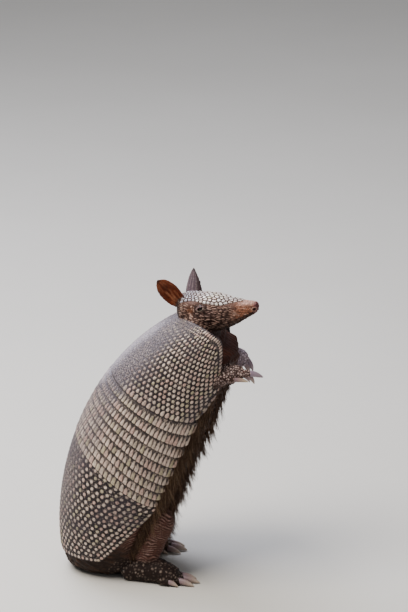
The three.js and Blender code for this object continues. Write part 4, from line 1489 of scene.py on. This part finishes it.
def painted(points, ground, *layers):
    """A palette colour all over, with (palette colour, share) layers painted on it in turn."""
    tone = np.tile(PALETTE[ground], (len(points), 1))
    for key, share in layers:
        tone = paint(tone, PALETTE[key], share)
    return tone


def head_places(points):
    """Distance from the occiput, distance to the left and height above the floor."""
    from_back = points - OCCIPUT
    return from_back @ HEAD_AHEAD, from_back @ HEAD_LEFT, points[:, 2]


def near_segment(points, a, b):
    """Distance to the segment a-b and the place along it in millimetres."""
    a, b = np.array(a, float), np.array(b, float)
    length = np.linalg.norm(b - a)
    way = (b - a) / length
    far = np.clip((points - a) @ way, 0, length)
    return np.linalg.norm(points - a - far[:, None] * way, axis=1), far


def near_limb(points, stations):
    """Distance to a limb's middle line, as a share of the limb's thickness."""
    best = np.full(len(points), 99.0)
    for first, second in zip(stations[:-1], stations[1:]):
        away, _ = near_segment(points, first[:3], second[:3])
        best = np.minimum(best, away / max(*first[3:5], *second[3:5]))
    return best


def with_digits(share, points, digits, far, near):
    """A region's share, extended over digits from their knuckles to their ends."""
    for digit in digits:
        away = near_limb(points, [(*p, digit[3], digit[3]) for p in digit[:2]])
        share = np.maximum(share, smooth(away, far, near))
    return share


class SkinPlaces:
    """The skin's points, with the head's own places and the noises that its regions share."""

    def __init__(self, points):
        self.points = points
        self.s, self.left, self.z = head_places(points)
        self.out = np.abs(self.left)
        self.seams, self.own = scales(points, 2.6, 5)
        self.coarse, self.coarse_own = scales(points, 3.5, 15)
        self.wander = noise(points, 9, 1)
        self.speckle = noise(points, 1.4, 2)
        half_width = head_half_width(self.s)
        half_height = (head_top(self.s) - head_bottom(self.s)) / 2
        up = self.z - (head_top(self.s) + head_bottom(self.s)) / 2
        self.from_head = np.sqrt((self.out / (half_width + 0.5)) ** 2 + (up / (half_height + 0.5)) ** 2)
        self.around = np.degrees(np.arctan2(self.out / half_width, up / half_height))


# Each region below gives its share of each point, its height there and its colour.


def belly_skin(at):
    """Rows of soft warts across the belly and chest, and a redder throat."""
    points, pitch = at.points, 6.2
    rows = points[:, 2] * 0.93 + points[:, 0] * 0.36
    row = np.floor(rows / pitch)
    q = points[:, 1] / 6.5 + 0.5 * (row % 2) + 0.25 * at.wander
    wart = hill(q - np.floor(q), 0.5, 0.26) * hill(rows / pitch - row, 0.5, 0.28)
    fold = np.sin(2 * math.pi * (rows + 2.2 * at.wander) / pitch)
    middle_front = smooth(np.abs(points[:, 1]), 48, 20) * smooth(points[:, 2], 30, 90)
    throat = smooth(at.z, 232, 250) * smooth(points[:, 0], 60, 74)
    tone = painted(
        points,
        "belly",
        ("belly_light", 0.75 * wart + 0.2 * at.speckle),
        ("belly_light", 0.35 * middle_front),
        ("throat", 0.8 * throat * (0.7 + 0.3 * at.speckle)),
    )
    return np.ones(len(points)), 0.9 * wart + 0.35 * fold + 0.35 * noise(points, 3.0, 3), tone


def neck_skin(at):
    """Loose folds with rows of small grey scales."""
    s, z = at.s, at.z
    nape = smooth(s, 26, 6) * smooth(z, 268, 284) * smooth(z, 330, 312)
    cheek_fold = smooth(z, 268, 280) * smooth(z, 300, 288) * smooth(s, 50, 20)
    fold = np.sin(2 * math.pi * (0.8 * s + 0.6 * z + 1.6 * at.wander) / 4.6)
    tone = painted(
        at.points,
        "neck",
        ("neck_scale", smooth(at.seams, 0.25, 0.8) * (0.25 + 0.6 * at.own)),
        ("crease", 0.7 * smooth(fold, 0.0, -0.9)),
    )
    return np.clip(nape + cheek_fold, 0, 1), 0.5 * fold + 0.4 * smooth(at.seams, 0.1, 0.7), tone


def cheek_marks(at, eye_s, eye_z, from_eye):
    """Elongated scales in level rows, which turn to rings behind the eye."""
    level = at.z + 0.13 * (at.s - 30) + 1.3 * at.wander + 0.5 * noise(at.points, 4, 10)
    row_seam, row_own = scales(np.column_stack([0.32 * at.s, 1.15 * level, 0.4 * at.left]), 2.0, 51)
    turn = np.arctan2(eye_z, eye_s) * 8
    ring_seam, ring_own = scales(
        np.column_stack([0.35 * turn, 1.1 * from_eye, 0.2 * at.left]), 2.1, 52
    )
    ring_share = smooth(from_eye, 13, 8) * smooth(eye_s, 6, -2)
    cell = smooth(lerp(row_seam, ring_seam, ring_share), 0.02, 0.5)
    own_light = 0.45 + 0.55 * lerp(row_own, ring_own, smooth(ring_share, 0.4, 0.6))
    folds = np.sin(2 * math.pi * level / 4.4)
    rings = np.sin(2 * math.pi * from_eye / 2.7)
    fold = lerp(folds, rings, ring_share) * (0.7 + 0.5 * noise(at.points, 4.5, 9))
    return cell, own_light, fold


EYE_SLIT = (2.5, 1.3)  # half length and half height of the opening between the lids
NOSTRIL = (88.8, 5.0, 313.6)  # distance from the occiput, sideways and height


def eye_marks(at, eye_s, eye_z, from_eye):
    """The lids, the opening between them and the socket, and how far a point is the eye's own."""
    slit_s = eye_s * math.cos(EYE_TILT) + eye_z * math.sin(EYE_TILT)
    slit_z = eye_z * math.cos(EYE_TILT) - eye_s * math.sin(EYE_TILT)
    upper = smooth(slit_z, -0.4, 0.5)
    crown = np.sqrt((slit_s / EYE_SLIT[0]) ** 2 + (slit_z / EYE_SLIT[1]) ** 2)
    lid = hill(crown, 1.6, 0.4) * (0.8 + 0.4 * upper)
    socket = hill(from_eye, 5.4, 1.4)
    by_eye = smooth(at.out, 10, 14) * (np.abs(eye_s) < 14)
    return upper, crown, lid, socket, by_eye


def muzzle_marks(at):
    """The line of the mouth, the nostril's hollow and the rim round it."""
    s, z, out = at.s, at.z, at.out
    mouth_z = lerp(head_bottom(s), head_top(s), 0.22)
    mouth = hill(z, mouth_z, 0.5) * smooth(s, 50, 58) * smooth(s, 89.5, 86.5) * smooth(out, 1.0, 2.5)
    from_nostril = np.sqrt(
        (s - NOSTRIL[0]) ** 2 + ((out - NOSTRIL[1]) * 0.9) ** 2 + ((z - NOSTRIL[2]) * 1.1) ** 2
    )
    return mouth, smooth(from_nostril, 2.2, 1.1), hill(from_nostril, 2.7, 0.6)


def head_skin(at):
    """Wrinkled cheeks, lids, a mouth, a scaly snout and a soft nose."""
    s, z, around = at.s, at.z, at.around
    snout = smooth(s, 56, 70)
    on_side = smooth(around, 48, 66)
    cheek = smooth(around, 48, 60) * smooth(around, 155, 125)
    eye_s, eye_z = s - EYE_PLACE, z - EYE_HEIGHT
    from_eye = np.hypot(eye_s / 1.3, eye_z + 0.5) + 0.7 * noise(at.points, 3.5, 8)
    cell, own_light, fold = cheek_marks(at, eye_s, eye_z, from_eye)
    wrinkle = (1.2 * cell - 0.7 + 0.4 * fold) * cheek
    wrinkle = wrinkle * (1 - 0.5 * snout)
    jaw = smooth(around, 112, 138)
    scaly = smooth(at.seams, 0.05, 0.6) - 0.5
    height = 0.6 * wrinkle + 0.4 * scaly * (0.8 * snout + jaw + 0.3) + 0.15 * at.speckle

    upper, crown, lid, socket, by_eye = eye_marks(at, eye_s, eye_z, from_eye)
    opening = smooth(crown, 1.12, 0.94)
    sunk = 0.7 * socket * (1 - lid) + 4.0 * opening + 0.5 * wrinkle * hill(from_eye, 2.0, 2.0)
    height += by_eye * (0.65 * lid - sunk)

    mouth, nostril, nostril_rim = muzzle_marks(at)
    height -= 0.8 * mouth
    height += 0.4 * nostril_rim - 2.0 * nostril
    under_shield = smooth(shield_half_angle(s) - around, -1.0, 3.0)
    under_shield = under_shield * (s > SHIELD_START - 1) * smooth(s, SHIELD_END + 0.5, SHIELD_END - 2)
    height = lerp(height, -1.1, under_shield)

    streak = noise(np.column_stack([0.3 * s, z, at.left]), 1.7, 33)
    blush = np.exp(-(((s - 40) / 9) ** 2 + ((z - 306) / 4.5) ** 2))
    patch = np.exp(-(((s - 20) / 4.5) ** 2 + ((z - 307.5) / 4) ** 2))
    corner = hill(np.hypot(eye_s - 3.9, eye_z - 0.3), 0, 1.0)
    around_eye = by_eye * smooth(crown, 2.6, 1.9)
    tone = painted(
        at.points,
        "cheek",
        ("ridge", own_light * smooth(cell, 0.2, 0.85) * (0.75 + 0.3 * fold) * cheek),
        ("lid", 0.6 * blush * cell),
        ("crease", 0.85 * smooth(cell, 0.45, 0.05) * cheek),
        ("orange", 0.5 * patch * (0.6 + 0.4 * at.speckle)),
        ("snout", smooth(s, 60, 76) * smooth(around, 140, 112)),
        ("crease", 0.65 * smooth(streak, 0.05, 0.5) * snout * on_side),
        ("ridge", 0.6 * smooth(streak, -0.25, -0.6) * snout * on_side),
        # painted highlight over pinkish skin along the top of the snout
        ("snout_top_pink_highlight", 0.85 * smooth(around, 62, 38) * smooth(s, 66, 76)),
        ("crease", 0.5 * smooth(at.seams, 0.5, 0.1) * (0.3 + 0.5 * snout)),
        # painted shade: the head's underside takes the dark belly colour for the jaw's shaded underside
        ("belly", 0.8 * smooth(around, 112, 150)),
        ("nose", 0.9 * smooth(s, 86, 89.5)),
        # painted highlight: a pale ring round the nostril for its wet glint
        ("ridge", 0.55 * nostril_rim),
        ("crease", nostril + 0.7 * mouth),
        ("crease", 0.5 * by_eye * socket),
        ("lid", 0.7 * around_eye * upper),
        ("lid_low", 0.6 * around_eye * (1 - upper)),
        ("crease", 0.7 * by_eye * hill(crown, 2.3, 0.25)),
        ("eye_slit", by_eye * smooth(crown, 1.35, 1.1)),
        ("neck_scale", 0.5 * by_eye * corner),
    )
    return smooth(at.from_head, 1.35, 1.12) * smooth(s, 2, 9), height, tone


def shank_skin(at, left):
    """Small scales with arched folds across them."""
    points = at.points
    leg = [hind_place(left, station) for station in HIND_LEG]
    away = near_limb(points, leg)
    share = smooth(away, 1.6, 1.15) * smooth(points[:, 2], 14, 24) * smooth(points[:, 2], 96, 74)
    arch = points[:, 2] + 0.016 * (points[:, 0] - leg[2][0] + 10) ** 2
    fold = np.sin(2 * math.pi * (arch + 3.0 * at.wander + 1.1 * noise(points, 4, 12)) / 2.8)
    fold = fold * (0.65 + 0.6 * noise(points, 5, 13))
    tone = painted(
        points,
        "shank",
        ("shank_light", smooth(fold, 0.2, 0.9) * (0.35 + 0.65 * at.own)),
        ("crease", 0.75 * smooth(fold, 0.0, -0.7)),
    )
    return share, 0.5 * fold + 0.4 * smooth(at.seams, 0.05, 0.6), tone


def foot_skin(at, left):
    """Dark feet with coarse pale scales."""
    points = at.points
    foot = [hind_place(left, station) for station in HIND_FOOT]
    share = smooth(near_limb(points, foot), 1.5, 1.2) * smooth(points[:, 2], 32, 22)
    share = with_digits(share, points, toe_digits(left), 2.0, 1.4)
    pale = smooth(at.coarse, 0.35, 0.95) * (0.3 + 0.7 * at.coarse_own)
    tone = painted(points, "foot_dark", ("foot", pale))
    return share, 0.6 * (smooth(at.coarse, 0.15, 0.9) - 0.4), tone


def paw_skin(at, side):
    """Small scales, paler towards the top and front, and rings round the fingers."""
    points = at.points
    share = smooth(near_limb(points, FORELEG[side]), 1.35, 1.1) * smooth(points[:, 0], 66, 76)
    share = np.maximum(share, smooth(near_limb(points, PALM[side]), 1.35, 1.15))
    share = with_digits(share, points, FINGERS[side], 1.7, 1.3)
    scale = smooth(at.seams, 0.1, 0.6)
    lit = smooth(points[:, 2] + 0.5 * points[:, 0], 266, 284)
    layers = [("paw", scale * (0.35 + 0.65 * at.own) * lit)]
    if side == "left":
        # painted light: the far forearm and paw are painted lighter to make up for the shade the head and
        # shell cast on them
        layers.append(("paw_far_lit", smooth(points[:, 0], 84, 94) * (0.4 + 0.45 * scale)))
    for knuckle, end, _, radius in FINGERS[side]:
        away, far = near_segment(points, knuckle, end)
        ringed = smooth(np.sin(2 * math.pi * far / 2.3), 0.2, 0.9) * smooth(away, radius * 1.5, radius)
        layers.append(("paw_dark", 0.6 * ringed * smooth(far, 2, 5)))
    return share, 0.5 * (scale - 0.4), painted(points, "paw_dark", *layers)


def ear_skin(at, side):
    """A thick dark rim, ribs up the funnel, and blotches on the near ear's inside."""
    base, along, across, open_way = ear_frame(side)
    rel = at.points - base
    u = rel @ along / EAR_LENGTH
    v = rel @ across / ear_half_width(side, u)
    depth = rel @ open_way + ear_hollow(u) * (1 - v * v)
    share = smooth(np.abs(depth), 3.4, 2.4) * smooth(u, 0.03, 0.12) * smooth(np.abs(v), 1.35, 1.15)
    rim = smooth(np.abs(v), 0.86, 0.98)
    ribs = np.sin(2 * math.pi * (v * 2.6 + 0.25 * at.wander))
    if side == "right":
        share *= smooth(at.from_head, 0.98, 1.06)
        inside = smooth(depth, -0.2, 0.4)
        blotch = noise(np.column_stack([u * 14, v * 9, np.zeros(len(u))]), 2.2, 34)
        funnel = inside * hill(v, 0.05, 0.34) * smooth(u, 0.92, 0.6)
        lit = inside * smooth(np.abs(v), 0.95, 0.6) * smooth(blotch + 0.25 * ribs, -0.3, 0.6)
        low = np.exp(-(((u - 0.36) / 0.2) ** 2 + ((v + 0.1) / 0.4) ** 2))
        shade = 0.45 * funnel * smooth(u, 0.4, 0.7) + 0.25 * smooth(blotch, 0.1, -0.5)
        layers = ["ear_near", ("ear_light", (0.3 + 0.5 * low) * lit), ("crease", shade)]
    else:
        grey = 0.3 * smooth(ribs + at.speckle, 0, 1)
        # painted shade: the far ear darkens along its long edge where v runs negative, its shaded side
        layers = ["ear_far", ("neck_scale", grey), ("crease", 0.6 * smooth(v, -0.45, -0.9))]
    layers.append(("ear_tip", 0.85 * smooth(u, 0.86, 1.0) + 0.75 * rim))
    layers.append(("crease", 0.15 * smooth(ribs, 0.0, -1.0) + 0.4 * smooth(u, 0.25, 0.02)))
    return share, 0.1 * ribs + 0.16 * rim + 0.16 * at.speckle, painted(at.points, *layers)


def skin_regions(at):
    yield neck_skin(at)
    yield head_skin(at)
    for side, left in SIDES:
        yield shank_skin(at, left)
        yield foot_skin(at, left)
        yield paw_skin(at, side)
        yield ear_skin(at, side)


def skin_fields(points):
    """Height over the flesh in millimetres, and the colour, of each skin point."""
    at = SkinPlaces(points)
    _, height, tone = belly_skin(at)
    for share, region_height, region_tone in skin_regions(at):
        height = lerp(height, region_height, share)
        tone = paint(tone, region_tone, share)
    return height, tone


def skin():
    mesh = remeshed(*all_flesh(), SKIN_CELL)
    points = skin_points(mesh)
    s, _, z = head_places(points)
    rounding = 0.35 + 0.4 * smooth(z, 262, 276) * smooth(s, 30, 12)
    points = relaxed(points, mesh_edges(mesh), rounding)
    write_points(mesh, points)
    for part in (on_head_or_paws, near_an_eye):
        refined(mesh, part(points))
        points = skin_points(mesh)
        points = relaxed(points, mesh_edges(mesh), 0.5 * part(points))
        write_points(mesh, points)
    mesh.update()
    normals = read_vectors(mesh.vertex_normals, "vector")
    height, tone = skin_fields(points)
    points = points + normals * height[:, None]
    points[:, 2] = np.maximum(points[:, 2], 0)
    write_points(mesh, points)
    mesh.update()
    mesh.shade_smooth()
    add_attribute(mesh, "colour", tone)
    flesh = ["trunk", "neck", "head"]
    for side, _ in SIDES:
        flesh += [f"{part}_{side}" for part in ("ear", "foreleg", "forepaw", "hind_leg", "hind_foot")]
    finish_piece(new_object("skin", mesh), flesh, FINISH["skin"])


# ---------------------------------------------------------------- hair

TUFT_PATCH = 0.003  # side of each hair's patch on the bake map


def hairs(name, roots, ways, lengths, widths, droop, spots, tint, pale, rng):
    """Thin tapering three-sided hairs that start along `ways` and droop under their weight."""
    count, steps = len(roots), 4
    t = np.linspace(0, 1, steps + 1)
    ways = unit(ways)
    side = unit(np.cross(ways, rng.normal(size=ways.shape)))
    other = np.cross(ways, side)
    bend = rng.normal(0, 0.10, (count, 2))
    line = roots[:, None] + lengths[:, None, None] * (
        ways[:, None] * t[:, None]
        + (bend[:, :1, None] * side[:, None] + bend[:, 1:, None] * other[:, None]) * (t**2)[:, None]
        - UPWARDS * droop[:, None, None] * (t**2)[:, None]
    )
    line[..., 2] = np.maximum(line[..., 2], 0.3)
    thick = widths[:, None] * (1 - 0.9 * t) * 0.5
    angle = np.arange(3) * 2 * math.pi / 3
    ring = np.cos(angle)[:, None] * side[:, None, None] + np.sin(angle)[:, None] * other[:, None, None]
    points = line[:, :, None] + thick[:, :, None, None] * ring
    per = (steps + 1) * 3
    first = (np.arange(count) * per)[:, None, None]
    k, j = np.meshgrid(np.arange(steps), np.arange(3), indexing="ij")
    n = (j + 1) % 3
    quads = first[..., None] + np.stack([k * 3 + j, k * 3 + n, (k + 1) * 3 + n, (k + 1) * 3 + j], -1)
    ends = first + np.array([[2, 1, 0], [steps * 3, steps * 3 + 1, steps * 3 + 2]])
    turns = ((j, k), (j + 1, k), (j + 1, k + 1), (j, k + 1))
    corner = np.stack([np.stack([across / 3, up / steps], -1) for across, up in turns], -2)
    quad_uv = spots[:, None, None, None] + TUFT_PATCH * (corner - 0.5)
    end_corner = np.array([[[0, 0], [0.5, 0], [1, 0.1]], [[0, 1], [0.5, 1], [1, 0.9]]])
    end_uv = spots[:, None, None] + TUFT_PATCH * (end_corner - 0.5)
    uv = np.concatenate([quad_uv.reshape(-1, 2), end_uv.reshape(-1, 2)])
    marks = {
        "tint": np.repeat(tint, per),
        "along": np.repeat((pale[:, None] * (0.35 + 0.65 * t)).ravel(), 3),
    }
    faces = [quads.reshape(-1, 4), ends.reshape(-1, 3)]
    piece = make_mesh(name, points.reshape(-1, 3), faces, marks, uv)
    finish_piece(piece, [], FINISH["hair"])


def trunk_spots(along, around):
    return np.column_stack([0.5 + 0.48 * around / math.pi, 0.02 + 0.9 * along])


def belly_hair():
    """Tufts whose hairs share a way and draw together towards their points."""
    rng = np.random.default_rng(7)
    tufts, per = BELLY_TUFTS, HAIRS_PER_TUFT
    along = rng.uniform(0.03, 0.84, tufts)
    around = rng.uniform(math.radians(128), math.radians(180), tufts) * rng.choice((-1, 1), tufts)
    lean = rng.normal(0, 0.16, (tufts, 3))
    lift = rng.uniform(0.15, 0.9, (tufts, 1))
    length = rng.uniform(10, 24, tufts) * (1 - 0.5 * smooth(along, 0.62, 0.82))
    tuft = np.repeat(np.arange(tufts), per)
    apart = rng.normal(0, 1, (tufts * per, 2))
    along_hair = along[tuft] + 0.006 * apart[:, 0]
    around_hair = around[tuft] + 0.022 * apart[:, 1]
    rise = flesh_rise(along_hair, around_hair)
    roots = trunk_point(along_hair, around_hair, rise)
    tuft_roots = trunk_point(along, around, flesh_rise(along, around))
    tailward = unit(trunk_point(along - 0.01, around, 0.0) - trunk_point(along, around, 0.0))
    outward = unit(trunk_point(along, around, 4.0) - trunk_point(along, around, 0.0))
    tips = tuft_roots + unit(tailward + outward * lift + lean) * length[:, None]
    count = len(tuft)
    tip_of_hair = tips[tuft] + rng.normal(0, 0.8, (count, 3))
    ways = tip_of_hair - roots
    lengths = np.linalg.norm(ways, axis=1) * rng.uniform(0.75, 1.0, count)
    widths = rng.uniform(0.3, 0.55, count)
    near_edge = smooth(np.abs(np.degrees(around_hair)), 155, 132)
    pale = (0.15 + 0.7 * near_edge) * rng.uniform(0, 1, tufts)[tuft]
    pale = np.clip(pale + 0.15 * rng.uniform(0, 1, count), 0, 1)
    droop = rng.uniform(0.03, 0.12, tufts)[tuft]
    spots = trunk_spots(along_hair, around_hair)
    tint = rng.uniform(0, 1, count)
    hairs("hair_belly", roots, ways, lengths, widths, droop, spots, tint, pale, rng)


def fringe_hair():
    """Coarse hairs from under the shell's lower edges, hanging towards the tail."""
    rng = np.random.default_rng(9)
    count = FRINGE_HAIRS
    along = rng.uniform(0.05, 0.84, count)
    sign = rng.choice((-1, 1), count)
    edge = np.interp(along, (0.05, 0.3, 0.7, 0.84), (118, 129, 136, 138))
    around = np.radians(edge + rng.uniform(-3, 5, count)) * sign
    roots = trunk_point(along, around, 0.2)
    tailward = unit(trunk_point(along - 0.01, around, 0.2) - roots)
    outward = unit(trunk_point(along, around, 2.0) - roots)
    inward = unit(trunk_point(along, around + 0.02 * sign, 0.2) - roots)
    ways = tailward + outward * rng.uniform(0.0, 0.3, (count, 1))
    ways = ways + inward * rng.uniform(0.1, 0.9, (count, 1))
    lengths = rng.uniform(8, 24, count) * (1 - 0.5 * smooth(along, 0.7, 0.84))
    widths = rng.uniform(0.35, 0.65, count)
    pale = rng.uniform(0, 1, count) ** 1.6
    droop = rng.uniform(0.05, 0.3, count)
    tint = rng.uniform(0, 1, count)
    spots = trunk_spots(along, around)
    hairs("hair_fringe", roots, ways, lengths, widths, droop, spots, tint, pale, rng)


# ---------------------------------------------------------------- floor, light and camera

CAMERA_AZIMUTH = 10
CAMERA_ELEVATION = 19
MM_PER_PIXEL = 1.10
FRAME_PIXELS = (408, 612)
ORIGIN_PIXEL = (150, 565)  # where the figure's own origin falls in the frame
LENS = 250
SENSOR = 36
FLOOR_REACH = 14000
LIT_POINT = np.array((0, 0, 170.0))  # the lights face this


def view_axes(azimuth, elevation):
    """The ways right, up and back towards the eye for a view at these angles in degrees."""
    a, e = math.radians(azimuth), math.radians(elevation)
    right = np.array((math.cos(a), math.sin(a), 0))
    up = np.array((-math.sin(a) * math.sin(e), math.cos(a) * math.sin(e), math.cos(e)))
    back = np.array((math.sin(a) * math.cos(e), -math.cos(a) * math.cos(e), math.sin(e)))
    return right, up, back


def aimed(name, data, target, back, distance):
    """A camera or light at a distance from its target, facing it."""
    made = new_object(name, data)
    made.location = Vector(place(target + back * distance))
    made.rotation_mode = "QUATERNION"
    made.rotation_quaternion = Vector(-back).to_track_quat("-Z", "Y")
    return made


def camera():
    right, up, back = view_axes(CAMERA_AZIMUTH, CAMERA_ELEVATION)
    target = (
        right * (FRAME_PIXELS[0] / 2 - ORIGIN_PIXEL[0]) * MM_PER_PIXEL
        + up * (ORIGIN_PIXEL[1] - FRAME_PIXELS[1] / 2) * MM_PER_PIXEL
    )
    data = bpy.data.cameras.new("camera")
    data.lens = LENS
    data.sensor_width = SENSOR
    data.clip_end = 100
    distance = LENS / SENSOR * FRAME_PIXELS[1] * MM_PER_PIXEL
    bpy.context.scene.camera = aimed("camera", data, target, back, distance)


def floor():
    corners = [(x * FLOOR_REACH, y * FLOOR_REACH, 0.0) for x, y in ((-1, -1), (1, -1), (1, 1), (-1, 1))]
    piece = make_mesh("floor", np.array(corners), [np.array([[0, 1, 2, 3]])])
    f = Finish("floor", Roughness=0.8)
    f.set("Base Color", f.mix(f.noise(400), "cdcac4", "d6d3cd"))
    piece.data.materials.append(f.material)


def light(name, azimuth, elevation, distance, size, power, tint):
    data = bpy.data.lights.new(name, "AREA")
    data.size = size
    data.energy = power
    data.color = tuple(colour(tint))
    aimed(name, data, LIT_POINT, view_axes(azimuth, elevation)[2], distance)


def lights():
    # degrees round and up, distance in millimetres, size in metres, watts, colour
    light("key", -48, 60, 1700, 1.0, 32, "fffaf2")
    light("top", -135, 55, 1800, 1.2, 30, "eef2ff")
    light("fill", 45, 15, 2400, 1.6, 4, "fff1e0")
    world = bpy.data.worlds.new("studio")
    world.use_nodes = True
    background = world.node_tree.nodes["Background"]
    background.inputs["Color"].default_value = (0.86, 0.88, 0.94, 1)
    background.inputs["Strength"].default_value = 0.3
    bpy.context.scene.world = world


# ---------------------------------------------------------------- the whole scene

camera()
floor()
lights()
scapular_shield()
bands()
pelvic_shield()
head_shield()
tail()
eyes()
claws()
skin()
belly_hair()
fringe_hair()

bpy.context.scene.view_settings.view_transform = "AgX"
bpy.context.scene.view_settings.look = "AgX - Medium High Contrast"
